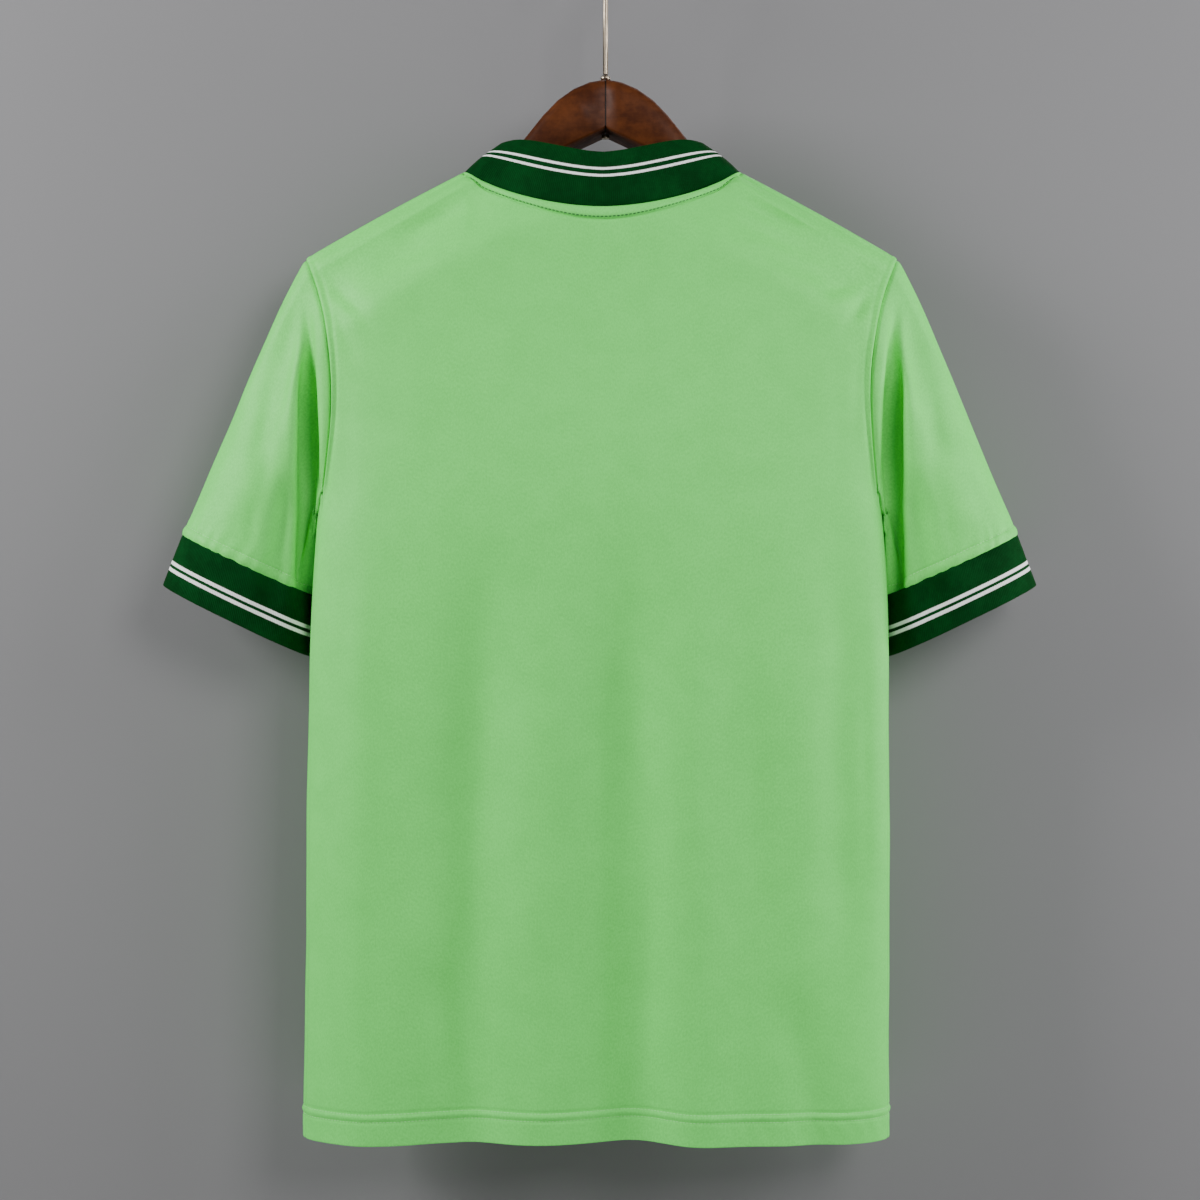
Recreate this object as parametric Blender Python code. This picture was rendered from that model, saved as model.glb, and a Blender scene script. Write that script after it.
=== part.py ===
"""A football jersey hanging from a wooden hanger, as one rigid part.

Units are metres and +Z is up. +Y is the way a wearer would face and +X is the
wearer's right, so the back of the jersey faces -Y. The origin is the inside of
the hook's top, where a rail carries it.

Every cloth piece is a grid of points on its outer face, worked out from the
sizes below, and a wall made by moving that grid inwards. Columns run
anticlockwise seen from above and rows run down, so a face always points out.
"""

from collections import defaultdict, namedtuple
from math import acos, atan, cos, exp, pi, radians, sin, tan

import bpy
import numpy as np

# Walls and seams
CLOTH_WALL = 0.0015
RIB_WALL = 0.0020
SEAM_GAP = 0.0006
THINNEST_SHARE = 0.75  # least share of its wall that a seam's slanted rim keeps

# How the jersey hangs: a little off the hanger's middle, and not quite plumb
HANG_OFFSET = -0.0027
HANG_LEAN = 0.0058
HANG_LEAN_FROM = -0.200

# Plain finishes
Finish = namedtuple("Finish", "colour roughness metallic")
GREEN_KNIT = Finish((0.235, 0.560, 0.225), 0.45, 0.0)
DARK_GREEN_RIB = Finish((0.004, 0.075, 0.022), 0.75, 0.0)
VARNISHED_WOOD = Finish((0.070, 0.022, 0.010), 0.35, 0.0)
NICKEL = Finish((0.62, 0.57, 0.49), 0.25, 1.0)
SHARP_FROM = radians(40)

# Shoulders. The ridge is the highest line of the cloth over the hanger.
TIP_HALF = 0.2238
TIP_Z = -0.2525
SHOULDER_SLOPE = tan(radians(28.5))
SHOULDER_CROWN = 0.0010
ROLL_DEPTH = 0.024
ROLL_HEIGHT = 0.014
ROLL_LENGTH = 0.031
SEAM_LEAD = 0.0076  # the shoulder seam lies this far behind the ridge, over the cloth

# Neck
NECK_HALF = 0.105
BACK_NECK_Z = -0.2200
BACK_NECK_POWER = 1.95
FRONT_NECK_Z = -0.2745
FRONT_NECK_POWER = 1.3

# Body
UNDERARM_Z = -0.430
HEM_SIDE_Z = -0.9130
HEM_MIDDLE_Z = -0.9085
TIP_OUT_HALF = 0.2255
WAIST_HALF = 0.2190
HEM_FLARE = 0.0017
UNDERARM_TUCK = 0.0088
UNDERARM_TUCK_FADE = 0.060
SIDE_SEAM_SETBACK = 0.015  # the side seam lies this far behind the widest point
WIDEST_SHIFT = -0.008
SHOULDER_SQUARENESS = 3.8
SQUARENESS_FROM_Z = -0.270
SQUARENESS_TO_Z = -0.460

# Armholes
BACK_ARMHOLE_BOW = 0.014
FRONT_ARMHOLE_BOW = 0.016
ARMHOLE_SKEW = 0.87
UNDERARM_SWING_FROM = 0.66

# Sleeves and cuffs, in the half plane of one side. A cuff leaves the sleeve at CUFF_SEAM.
CuffEdge = namedtuple("CuffEdge", "outer_x outer_z inner_x inner_z middle_y half_depth")
CUFF_SEAM = CuffEdge(0.3183, -0.4605, 0.2160, -0.5082, 0.012, 0.044)
CUFF_HEM = CuffEdge(0.3332, -0.4985, 0.2195, -0.5532, 0.012, 0.039)
CUFF_SQUARENESS = 2.3
SLEEVE_SLOPE = radians(24.4)  # the sleeve's outer edge, off plumb
CAP_BULGE = 0.0035
UNDERARM_BULGE = 0.0050  # how far the sleeve swings out to stay clear of the body's side
UNDERARM_BULGE_RISE = 0.6
BACK_BULGE_POWER = 8
FRONT_BULGE_POWER = 4
FRONT_TUCK = 0.0070  # how far the sleeve's inner front lies in behind the body's side

# Collar: its free top edge, as a ring above the neck seam
COLLAR_HALF = 0.0785
COLLAR_SIDE_Z = -0.1668
COLLAR_BACK_Y = -0.0360
COLLAR_BACK_Z = -0.1789
COLLAR_FRONT_Y = 0.0370
COLLAR_FRONT_Z = -0.2365
COLLAR_RISE_SPEED = 1.5
COLLAR_RISE_POWER = 1.6
COLLAR_SWELL = 0.0015
COLLAR_ROUNDNESS = 0.75  # under 1, the collar's plan is fuller than an oval
COLLAR_FALL_POWER = 1.7

# Grid counts
SHOULDER_COLUMNS = 9
BACK_NECK_COLUMNS = 11  # to the middle
FRONT_NECK_COLUMNS = 11
ROLL_ROWS = 4
ARMHOLE_ROWS = 12
BODY_ROWS = 26
SLEEVE_ROWS = 11
CUFF_ROWS = 3
COLLAR_ROWS = 4

# Hanger and hook
ARM_TOP_RADIUS = 0.010
ARM_TOP_WIDEST = 0.9  # the top's rounding, as a share of the half depth at most
ARM_TOP_TALLEST = 0.6  # and as a share of the height at most
ARM_BOTTOM_BEVEL = 0.0015
ARM_CORNER_STEPS = 4
MITRE_GAP = 0.0003
WIRE_RADIUS = 0.0019
HOOK_RADIUS = 0.024
HOOK_FILLET = 0.012
HOOK_END = radians(200)
HOOK_ARC_STEPS = 30
HOOK_FILLET_STEPS = 6
FERRULE_RADIUS = 0.0038
FERRULE_HALF_HEIGHT = 0.0025
FERRULE_Z = -0.1147
WIRE_SIDES = 3  # bevel resolution of the wire

# The body's half depth grows below the ridge, first at the neck and then at the chest.
Side = namedtuple("Side", "sign squareness neck_gain neck_over chest_gain chest_over")
BACK = Side(-1, 2.8, 0.020, 0.055, 0.004, 0.20)
FRONT = Side(1, 2.4, 0.022, 0.090, 0.018, 0.15)
CHEST_FROM = 0.100

# Folds that run down a panel. x is from the jersey's middle, depth is inwards and
# negative on a ridge, and a fold that reaches the hem stays open there.
Fold = namedtuple("Fold", "x_top z_top x_low z_low half_width depth")
BACK_FOLDS = (
    Fold(-0.095, -0.430, -0.102, -0.930, 0.022, 0.0080),
    Fold(0.006, -0.440, 0.019, -0.930, 0.027, 0.0090),
    Fold(0.170, -0.400, 0.174, -0.760, 0.019, 0.0050),
    Fold(0.131, -0.780, 0.162, -0.930, 0.015, 0.0035),
    Fold(-0.134, -0.760, -0.126, -0.930, 0.018, 0.0040),
    Fold(-0.188, -0.380, -0.184, -0.930, 0.022, -0.0035),
    Fold(-0.045, -0.450, -0.046, -0.930, 0.024, -0.0040),
    Fold(0.058, -0.450, 0.068, -0.930, 0.023, -0.0045),
)
FRONT_FOLDS = (
    Fold(-0.118, -0.400, -0.104, -0.930, 0.024, 0.0090),
    Fold(-0.012, -0.480, -0.022, -0.930, 0.028, 0.0080),
    Fold(0.096, -0.410, 0.112, -0.930, 0.024, 0.0095),
    Fold(0.165, -0.560, 0.160, -0.930, 0.018, 0.0050),
    Fold(0.050, -0.500, 0.044, -0.930, 0.024, -0.0050),
    Fold(-0.066, -0.460, -0.062, -0.930, 0.024, -0.0045),
)
# Folds down a sleeve, seen from behind or in front, in the half plane of one side.
SLEEVE_BACK_FOLDS = (
    Fold(0.2160, -0.285, 0.2215, -0.530, 0.0075, 0.0160),
    Fold(0.2310, -0.275, 0.2620, -0.430, 0.0090, 0.0050),
    Fold(0.2320, -0.410, 0.2480, -0.530, 0.0100, 0.0060),
)
SLEEVE_FRONT_FOLDS = (
    Fold(0.2200, -0.300, 0.2350, -0.530, 0.0090, 0.0120),
    Fold(0.2350, -0.290, 0.2700, -0.460, 0.0110, 0.0050),
)
FOLD_FADE = 0.35  # share of a fold's length over which it opens or closes
SEAM_CALM = 0.14  # share of a panel's half width over which folds die at its sides

# Stations along a hanger arm, from the mitre out to the shoulder.
Station = namedtuple("Station", "x top bottom half_depth")
ARM_STATIONS = (
    Station(0.000, -0.1177, -0.1561, 0.0180),
    Station(0.012, -0.1199, -0.1617, 0.0180),
    Station(0.024, -0.1250, -0.1673, 0.0180),
    Station(0.036, -0.1335, -0.1729, 0.0180),
    Station(0.047, -0.1448, -0.1782, 0.0178),
    Station(0.058, -0.1582, -0.1840, 0.0165),
    Station(0.068, -0.1702, -0.1900, 0.0145),
    Station(0.080, -0.1815, -0.1984, 0.0135),
    Station(0.093, -0.1915, -0.2080, 0.0135),
    Station(0.106, -0.1998, -0.2170, 0.0148),
    Station(0.122, -0.2085, -0.2262, 0.0162),
    Station(0.145, -0.2200, -0.2385, 0.0172),
    Station(0.170, -0.2330, -0.2510, 0.0168),
    Station(0.186, -0.2415, -0.2588, 0.0150),
    Station(0.197, -0.2480, -0.2632, 0.0118),
    Station(0.203, -0.2525, -0.2625, 0.0070),
)


def smooth(share):
    """0 below 0, 1 above 1, and an even S in between."""
    share = min(1.0, max(0.0, share))
    return share * share * (3 - 2 * share)


def mix(low, high, share):
    return low + (high - low) * share


def unit(vector):
    return vector / np.maximum(np.linalg.norm(vector, axis=-1, keepdims=True), 1e-12)


# ---- The body's form -------------------------------------------------------


def middle_x(z):
    """The jersey's own middle line, which leans a little off plumb."""
    return HANG_OFFSET - HANG_LEAN * (HANG_LEAN_FROM - z)


def ridge(x):
    """Height of the cloth's highest line, closed across the neck by a dome."""
    x = abs(x)
    line = TIP_Z + (TIP_HALF - max(x, NECK_HALF)) * SHOULDER_SLOPE
    if NECK_HALF < x < TIP_HALF:
        line += SHOULDER_CROWN * sin(pi * (x - NECK_HALF) / (TIP_HALF - NECK_HALF))
    inside = max(0.0, 1 - (x / NECK_HALF) ** 2)
    return line + SHOULDER_SLOPE * NECK_HALF * inside / 2


def over_shoulder(along):
    """(reach, drop) of the cloth at a distance over it from the ridge.

    Reach is the share of the half depth, negative on the other side of the ridge.
    """
    if along < ROLL_LENGTH:
        turn = pi / 2 * along / ROLL_LENGTH
        return sin(turn), ROLL_HEIGHT * (1 - cos(turn))
    return 1.0, ROLL_HEIGHT + along - ROLL_LENGTH


def along_for(drop):
    """The inverse of over_shoulder: how far over the cloth a drop lies."""
    if drop < ROLL_HEIGHT:
        return ROLL_LENGTH * acos(1 - drop / ROLL_HEIGHT) / (pi / 2)
    return ROLL_LENGTH + drop - ROLL_HEIGHT


def half_depth(side, drop):
    neck = side.neck_gain * smooth((drop - ROLL_HEIGHT) / side.neck_over)
    chest = side.chest_gain * smooth((drop - CHEST_FROM) / side.chest_over)
    return ROLL_DEPTH + neck + chest


def half_width(z):
    if z > UNDERARM_Z:
        share = (TIP_Z - z) / (TIP_Z - UNDERARM_Z)
        return mix(TIP_OUT_HALF, WAIST_HALF - UNDERARM_TUCK, smooth(share))
    below = UNDERARM_Z - z
    flare = HEM_FLARE * below / (UNDERARM_Z - HEM_SIDE_Z)
    return WAIST_HALF + flare - UNDERARM_TUCK * exp(-below / UNDERARM_TUCK_FADE)


def squareness(side, z):
    """Exponent of the section's rounded corner, squarer over the hanger."""
    share = (SQUARENESS_FROM_Z - z) / (SQUARENESS_FROM_Z - SQUARENESS_TO_Z)
    return mix(SHOULDER_SQUARENESS, side.squareness, smooth(share))


def widest_y(z):
    share = (SQUARENESS_FROM_Z - z) / (SQUARENESS_FROM_Z - SQUARENESS_TO_Z)
    return WIDEST_SHIFT * smooth(share)


def on_corner(turn, power):
    """The unit rounded corner at an angle from its wide end."""
    across, out = cos(turn), abs(sin(turn))
    size = (across**power + out**power) ** (1 / power)
    return across / size, out / size


def turn_at(x, side, z):
    """The angle at which a section is x from the middle."""
    if x < 1e-6:
        return pi / 2
    power = squareness(side, z)
    return atan(max(0.0, (half_width(z) / x) ** power - 1) ** (1 / power))


def seam_turn(z):
    """The angle of the side seam, just behind the widest point."""
    power = squareness(BACK, z)
    share = SIDE_SEAM_SETBACK / half_depth(BACK, ridge(TIP_HALF) - z)
    return atan(share / (1 - share**power) ** (1 / power))


def armhole_turn(side, z, share):
    """The angle of the armhole's edge, from the shoulder tip (0) to the underarm (1)."""
    low = half_width(UNDERARM_Z) * on_corner(seam_turn(UNDERARM_Z), squareness(BACK, UNDERARM_Z))[0]
    bow = BACK_ARMHOLE_BOW if side is BACK else FRONT_ARMHOLE_BOW
    x = mix(TIP_HALF, low, share) - bow * sin(pi * share**ARMHOLE_SKEW)
    turn = turn_at(x, side, z)
    if side is FRONT:
        swing = smooth((share - UNDERARM_SWING_FROM) / (1 - UNDERARM_SWING_FROM))
        turn = mix(turn, -seam_turn(UNDERARM_Z), swing)
    return turn


def fold_depth(folds, x, z):
    """How far the folds push a point inwards."""
    total = 0.0
    for fold in folds:
        share = (fold.z_top - z) / (fold.z_top - fold.z_low)
        if not 0 < share < 1:
            continue
        middle = mix(fold.x_top, fold.x_low, share)
        open_here = smooth(share / FOLD_FADE) * smooth((1 - share) / FOLD_FADE)
        if fold.z_low < HEM_SIDE_Z:
            open_here = smooth(share / FOLD_FADE)
        total += fold.depth * open_here * exp(-(((x - middle) / fold.half_width) ** 2))
    return total


# ---- Front and back panels -------------------------------------------------


def panel_columns(side):
    """(x, along) of each column's top, from the shoulder tip to the middle."""
    lead = SEAM_LEAD if side is BACK else -SEAM_LEAD
    columns = []
    for step in range(SHOULDER_COLUMNS):
        columns.append((mix(TIP_HALF, NECK_HALF, step / SHOULDER_COLUMNS), lead))
    point_z = ridge(NECK_HALF) - over_shoulder(SEAM_LEAD)[1]
    steps = BACK_NECK_COLUMNS if side is BACK else FRONT_NECK_COLUMNS
    deepest = along_for(ridge(0) - FRONT_NECK_Z)
    for step in range(steps + 1):
        angle = pi / 2 * (1 - step / steps)
        x = NECK_HALF * sin(angle)
        if side is BACK:
            z = mix(BACK_NECK_Z, point_z, sin(angle) ** BACK_NECK_POWER)
            columns.append((x, along_for(ridge(x) - z)))
        else:
            share = max(0.0, cos(angle)) ** FRONT_NECK_POWER
            columns.append((x, mix(lead, deepest, share)))
    return columns


def row_along(side, row, top, x):
    """How far over the cloth a row lies from the ridge, in a column that starts at top."""
    lead = SEAM_LEAD if side is BACK else -SEAM_LEAD
    rolled = top + (ROLL_LENGTH - lead) * min(row, ROLL_ROWS) / ROLL_ROWS
    if row <= ROLL_ROWS:
        return rolled
    hem_z = mix(HEM_SIDE_Z, HEM_MIDDLE_Z, smooth(1 - x / TIP_HALF))
    hem = along_for(ridge(x) - hem_z)
    side_hem = along_for(TIP_Z - HEM_SIDE_Z)
    underarm = (along_for(TIP_Z - UNDERARM_Z) - ROLL_LENGTH) / (side_hem - ROLL_LENGTH)
    if row <= ARMHOLE_ROWS:
        share = underarm * (row - ROLL_ROWS) / (ARMHOLE_ROWS - ROLL_ROWS)
    else:
        share = mix(underarm, 1, (row - ARMHOLE_ROWS) / (BODY_ROWS - ARMHOLE_ROWS))
    return mix(rolled, hem, share)


def edge_turn(side, row):
    """The angle of a panel's own edge: the armhole, and below it the side seam."""
    lead = SEAM_LEAD if side is BACK else -SEAM_LEAD
    top_z = TIP_Z - over_shoulder(lead)[1]
    z = TIP_Z - over_shoulder(row_along(side, row, lead, TIP_HALF))[1]
    if row < ARMHOLE_ROWS:
        return armhole_turn(side, z, max(0.0, (top_z - z) / (top_z - UNDERARM_Z)))
    return seam_turn(z) * (1 if side is BACK else -1)


def panel_point(side, row, top, edge, share, x_top):
    """A point of a panel; share runs from 0 at the panel's edge to 1 at its middle.

    A row takes its height from its columns' tops over the shoulder, and lower
    down from its own places across the panel, so that it's level at the side.
    """
    turn = mix(edge, pi / 2, share)
    reach, drop = over_shoulder(row_along(side, row, top, x_top))
    power = squareness(side, ridge(x_top) - drop)
    own_x = TIP_HALF * on_corner(turn, power)[0] / on_corner(edge, power)[0]
    x_ridge = mix(x_top, own_x, smooth(row / ARMHOLE_ROWS))
    reach, drop = over_shoulder(row_along(side, row, top, x_ridge))
    z = ridge(x_ridge) - drop
    facing = side if turn >= 0 else BACK
    across, out = on_corner(turn, squareness(facing, z))
    y = widest_y(z) + facing.sign * reach * half_depth(facing, drop) * out
    return half_width(z) * across, y, z


def panel(side):
    """The grid of a panel's outer face. The back runs from left to right, the front from right to left."""
    columns = panel_columns(side)
    last = len(columns) - 1
    first_edge = edge_turn(side, 0)
    folds = BACK_FOLDS if side is BACK else FRONT_FOLDS
    grid = np.zeros((BODY_ROWS + 1, 2 * last + 1, 3))
    for row in range(BODY_ROWS + 1):
        edge = edge_turn(side, row)
        settled = smooth(row / ARMHOLE_ROWS)
        for column, (x_top, top) in enumerate(columns):
            top_turn = turn_at(x_top, side, TIP_Z) if column else first_edge
            top_share = (top_turn - first_edge) / (pi / 2 - first_edge)
            share = mix(top_share, column / last, settled)
            x, y, z = panel_point(side, row, top, edge, share, x_top)
            calm = smooth(share / SEAM_CALM)
            for hand, place in ((side.sign, column), (-side.sign, 2 * last - column)):
                push = calm * fold_depth(folds, hand * x, z)
                grid[row, place] = hand * x + middle_x(z), y - side.sign * push, z
    return grid


# ---- Sleeves, cuffs and collar ---------------------------------------------


def armhole(back, front, hand):
    """The armhole's loop: shoulder tip, down the back, underarm and up the front."""
    back_edge = back[: ARMHOLE_ROWS + 1, 0 if hand < 0 else -1]
    front_edge = front[: ARMHOLE_ROWS + 1, -1 if hand < 0 else 0]
    return np.concatenate([back_edge, front_edge[ARMHOLE_ROWS - 1 : 0 : -1]])


def around(loop):
    """Angle of each point of an armhole loop by its length along it: 0 at the tip, pi at the underarm."""
    steps = np.linalg.norm(np.roll(loop, -1, axis=0) - loop, axis=1)
    reached = np.concatenate([[0.0], np.cumsum(steps)])
    low = reached[ARMHOLE_ROWS]
    down = pi * reached[: ARMHOLE_ROWS + 1] / low
    up = pi + pi * (reached[ARMHOLE_ROWS + 1 : -1] - low) / (reached[-1] - low)
    return np.concatenate([down, up])


def cuff_loop(edge, angles, hand):
    """An open end of the sleeve or the cuff, as a flattened oval."""
    loop = []
    for angle in angles:
        across, out = rounded(angle)
        x = mix(edge.inner_x, edge.outer_x, (1 + across) / 2)
        z = mix(edge.inner_z, edge.outer_z, (1 + across) / 2)
        loop.append((hand * x + middle_x(z), edge.middle_y - edge.half_depth * out, z))
    return np.array(loop)


def rounded(angle):
    """The unit oval at any angle, with out positive behind and negative in front."""
    across, out = cos(angle), sin(angle)
    size = (abs(across) ** CUFF_SQUARENESS + abs(out) ** CUFF_SQUARENESS) ** (1 / CUFF_SQUARENESS)
    return across / size, out / size


def sleeve_loop(top, low, angles, share, hand):
    """A ring of the sleeve, a share of the way from the armhole to the cuff seam."""
    ring = mix(top, low, share)
    for point, angle in zip(ring, angles):
        outer = cos(angle / 2) ** 4
        inner = sin(angle / 2) ** (BACK_BULGE_POWER if sin(angle) > 0 else FRONT_BULGE_POWER)
        cap = CAP_BULGE * sin(pi * share**0.5) * outer
        bulge = UNDERARM_BULGE * sin(pi * share**UNDERARM_BULGE_RISE) * inner
        if pi < angle < 1.5 * pi:
            bulge -= FRONT_TUCK * sin(pi * share) * sin(2 * (angle - pi))
        point[0] += hand * (cap * cos(SLEEVE_SLOPE) + bulge)
        point[2] += cap * sin(SLEEVE_SLOPE)
        folds = SLEEVE_BACK_FOLDS if sin(angle) > 0 else SLEEVE_FRONT_FOLDS
        push = fold_depth(folds, hand * (point[0] - middle_x(point[2])), point[2])
        point[1] += push * sin(angle) * smooth(4 * share)
    return ring


def sleeve(back, front, hand):
    """The sleeve's grid, and the angles of its columns. The right sleeve's columns are turned round."""
    top = armhole(back, front, hand)
    angles = around(top)
    low = cuff_loop(CUFF_SEAM, angles, hand)
    rings = [sleeve_loop(top, low, angles, row / SLEEVE_ROWS, hand) for row in range(SLEEVE_ROWS + 1)]
    return np.array(rings), angles


def cuff(sleeve_grid, angles, hand):
    low = cuff_loop(CUFF_HEM, angles, hand)
    return np.array([mix(sleeve_grid[-1], low, row / CUFF_ROWS) for row in range(CUFF_ROWS + 1)])


def collar_top(angle, side):
    """The collar's free edge; the angle is 0 in the middle and 90 degrees at the side."""
    x = COLLAR_HALF * sin(angle)
    round_share = max(0.0, cos(angle)) ** COLLAR_ROUNDNESS
    if side is BACK:
        rise = sin(min(pi / 2, COLLAR_RISE_SPEED * abs(angle))) ** COLLAR_RISE_POWER
        return x, COLLAR_BACK_Y * round_share, mix(COLLAR_BACK_Z, COLLAR_SIDE_Z, rise)
    fall = max(0.0, cos(angle)) ** COLLAR_FALL_POWER
    return x, COLLAR_FRONT_Y * round_share, mix(COLLAR_SIDE_Z, COLLAR_FRONT_Z, fall)


def collar(back, front):
    """The collar's grid, from its free edge down to the neck seam, back first."""
    back_seam = back[0, SHOULDER_COLUMNS : -SHOULDER_COLUMNS]
    front_seam = front[0, SHOULDER_COLUMNS : -SHOULDER_COLUMNS]
    seam = np.concatenate([back_seam[:-1], front_seam[:-1]])
    top = []
    for side, steps in ((BACK, BACK_NECK_COLUMNS), (FRONT, FRONT_NECK_COLUMNS)):
        for step in range(2 * steps):
            x, y, z = collar_top(pi / 2 * (step / steps - 1), side)
            top.append((-side.sign * x + middle_x(z), y, z))
    top = np.array(top)
    rows = []
    for row in range(COLLAR_ROWS + 1):
        share = row / COLLAR_ROWS
        ring = mix(top, seam, share)
        outward = unit(ring - ring.mean(axis=0))
        rows.append(ring + outward * COLLAR_SWELL * sin(pi * share))
    return np.array(rows)


# ---- Walls -----------------------------------------------------------------


def grid_normals(grid, closed):
    """Outward normals: down the rows crossed with along the columns."""
    down = np.gradient(grid, axis=0)
    if closed:
        across = np.roll(grid, -1, axis=1) - np.roll(grid, 1, axis=1)
    else:
        across = np.gradient(grid, axis=1)
    return unit(np.cross(down, across))


def shared_normals(grids, closed):
    """Each piece's normals, averaged where pieces meet in the same seam point.

    It also gives how squarely that direction leaves their faces there, from 0 to 1.
    """
    meeting = defaultdict(list)
    for name, grid in grids.items():
        normals = grid_normals(grid, closed[name])
        for point, normal in zip(grid.reshape(-1, 3), normals.reshape(-1, 3)):
            meeting[tuple(np.round(point, 6))].append(normal)
    leans = {}
    for name, grid in grids.items():
        places = [tuple(np.round(point, 6)) for point in grid.reshape(-1, 3)]
        mean = np.array([np.mean(meeting[place], axis=0) for place in places]).reshape(grid.shape)
        facing = np.linalg.norm(mean, axis=-1, keepdims=True)
        leans[name] = unit(mean), np.maximum(facing, THINNEST_SHARE)
    return leans


def pull_back(grid, facing, closed, hem):
    """Moves the seam edges in by half the seam gap. A hem is no seam and stays."""
    grid = grid.copy()
    gap = SEAM_GAP / 2 / facing
    grid[0] += gap[0] * unit(grid[1] - grid[0])
    if not hem:
        grid[-1] += gap[-1] * unit(grid[-2] - grid[-1])
    if not closed:
        grid[:, 0] += gap[:, 0] * unit(grid[:, 1] - grid[:, 0])
        grid[:, -1] += gap[:, -1] * unit(grid[:, -2] - grid[:, -1])
    return grid


def wall_faces(outer, lean, closed):
    """Triangles of a closed wall: outer face, inner face and the rims.

    A rim's squares are cut along the diagonal that is shorter at one common wall,
    so that two rims which face each other across a seam are cut alike.
    """
    rows, columns = outer.shape[:2]
    count = rows * columns
    top = outer.reshape(-1, 3)
    low = top - lean.reshape(-1, 3) * CLOTH_WALL
    spans = columns if closed else columns - 1

    def at(row, column):
        return row * columns + column % columns

    faces = []
    for row in range(rows - 1):
        for column in range(spans):
            a, b = at(row, column), at(row + 1, column)
            c, d = at(row + 1, column + 1), at(row, column + 1)
            faces += [(a, b, c), (a, c, d)]
            faces += [(count + a, count + c, count + b), (count + a, count + d, count + c)]
    edges = [(at(0, c + 1), at(0, c)) for c in range(spans)]
    edges += [(at(rows - 1, c), at(rows - 1, c + 1)) for c in range(spans)]
    if not closed:
        edges += [(at(r, 0), at(r + 1, 0)) for r in range(rows - 1)]
        edges += [(at(r + 1, columns - 1), at(r, columns - 1)) for r in range(rows - 1)]
    for a, b in edges:
        c, d = count + a, count + b
        if np.linalg.norm(top[b] - low[a]) < np.linalg.norm(top[a] - low[b]):
            faces += [(b, a, c), (b, c, d)]
        else:
            faces += [(b, a, d), (a, c, d)]
    return faces


def add_mesh(name, points, faces, finish):
    mesh = bpy.data.meshes.new(name)
    mesh.from_pydata([tuple(point) for point in points], [], faces)
    mesh.validate()
    mesh.shade_smooth()
    mesh.set_sharp_from_angle(angle=SHARP_FROM)
    obj = bpy.data.objects.new(name, mesh)
    bpy.context.collection.objects.link(obj)
    give_material(obj, finish)
    return obj


def give_material(obj, finish):
    material = bpy.data.materials.new(obj.name)
    material.use_nodes = True
    shader = material.node_tree.nodes["Principled BSDF"]
    shader.inputs["Base Color"].default_value = (*finish.colour, 1.0)
    shader.inputs["Roughness"].default_value = finish.roughness
    shader.inputs["Metallic"].default_value = finish.metallic
    material.diffuse_color = (*finish.colour, 1.0)
    obj.data.materials.append(material)


# ---- Hanger and hook -------------------------------------------------------


def arm_section(station):
    """A ring round a hanger arm: bevelled below and rounded on top."""
    half = station.half_depth
    height = station.top - station.bottom
    radius = min(ARM_TOP_RADIUS, half * ARM_TOP_WIDEST, height * ARM_TOP_TALLEST)
    bevel = ARM_BOTTOM_BEVEL
    one_side = [(half - bevel, station.bottom), (half, station.bottom + bevel)]
    for step in range(ARM_CORNER_STEPS + 1):
        angle = pi / 2 * step / ARM_CORNER_STEPS
        y = half - radius * (1 - cos(angle))
        one_side.append((y, station.top - radius * (1 - sin(angle))))
    return one_side + [(-y, z) for y, z in reversed(one_side)]


def hanger_arm(name, hand):
    points, faces = [], []
    for station in ARM_STATIONS:
        x = max(station.x, MITRE_GAP / 2)
        points += [(hand * x, y, z) for y, z in arm_section(station)]
    ring = len(arm_section(ARM_STATIONS[0]))
    for station in range(len(ARM_STATIONS) - 1):
        for step in range(ring):
            a, b = station * ring + step, station * ring + (step + 1) % ring
            faces.append((a, b, b + ring, a + ring)[:: int(hand)])
    ends = list(range(ring)), list(range(len(points) - ring, len(points)))
    faces.append(ends[0][:: -int(hand)])
    faces.append(ends[1][:: int(hand)])
    return add_mesh(name, points, faces, VARNISHED_WOOD)


def hook_path():
    """The hook's centreline in its own plane: stem, fillet and the round."""
    centre_z = WIRE_RADIUS - HOOK_RADIUS
    fillet_z = centre_z - (HOOK_RADIUS**2 + 2 * HOOK_RADIUS * HOOK_FILLET) ** 0.5
    lean = acos(HOOK_FILLET / (HOOK_RADIUS + HOOK_FILLET))
    path = [(0.0, FERRULE_Z + FERRULE_HALF_HEIGHT + SEAM_GAP)]
    for step in range(HOOK_FILLET_STEPS):
        turn = lean * step / HOOK_FILLET_STEPS
        path.append((HOOK_FILLET * (1 - cos(turn)), fillet_z + HOOK_FILLET * sin(turn)))
    for step in range(HOOK_ARC_STEPS + 1):
        turn = mix(-lean, HOOK_END, step / HOOK_ARC_STEPS)
        path.append((HOOK_RADIUS * cos(turn), centre_z + HOOK_RADIUS * sin(turn)))
    return path


def hook():
    curve = bpy.data.curves.new("hook", "CURVE")
    curve.dimensions = "3D"
    curve.bevel_depth = WIRE_RADIUS
    curve.bevel_resolution = WIRE_SIDES
    curve.use_fill_caps = True
    path = hook_path()
    spline = curve.splines.new("POLY")
    spline.points.add(len(path) - 1)
    for point, (x, z) in zip(spline.points, path):
        point.co = (x, 0.0, z, 1.0)
    obj = bpy.data.objects.new("hook", curve)
    bpy.context.collection.objects.link(obj)
    give_material(obj, NICKEL)
    return obj


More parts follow.
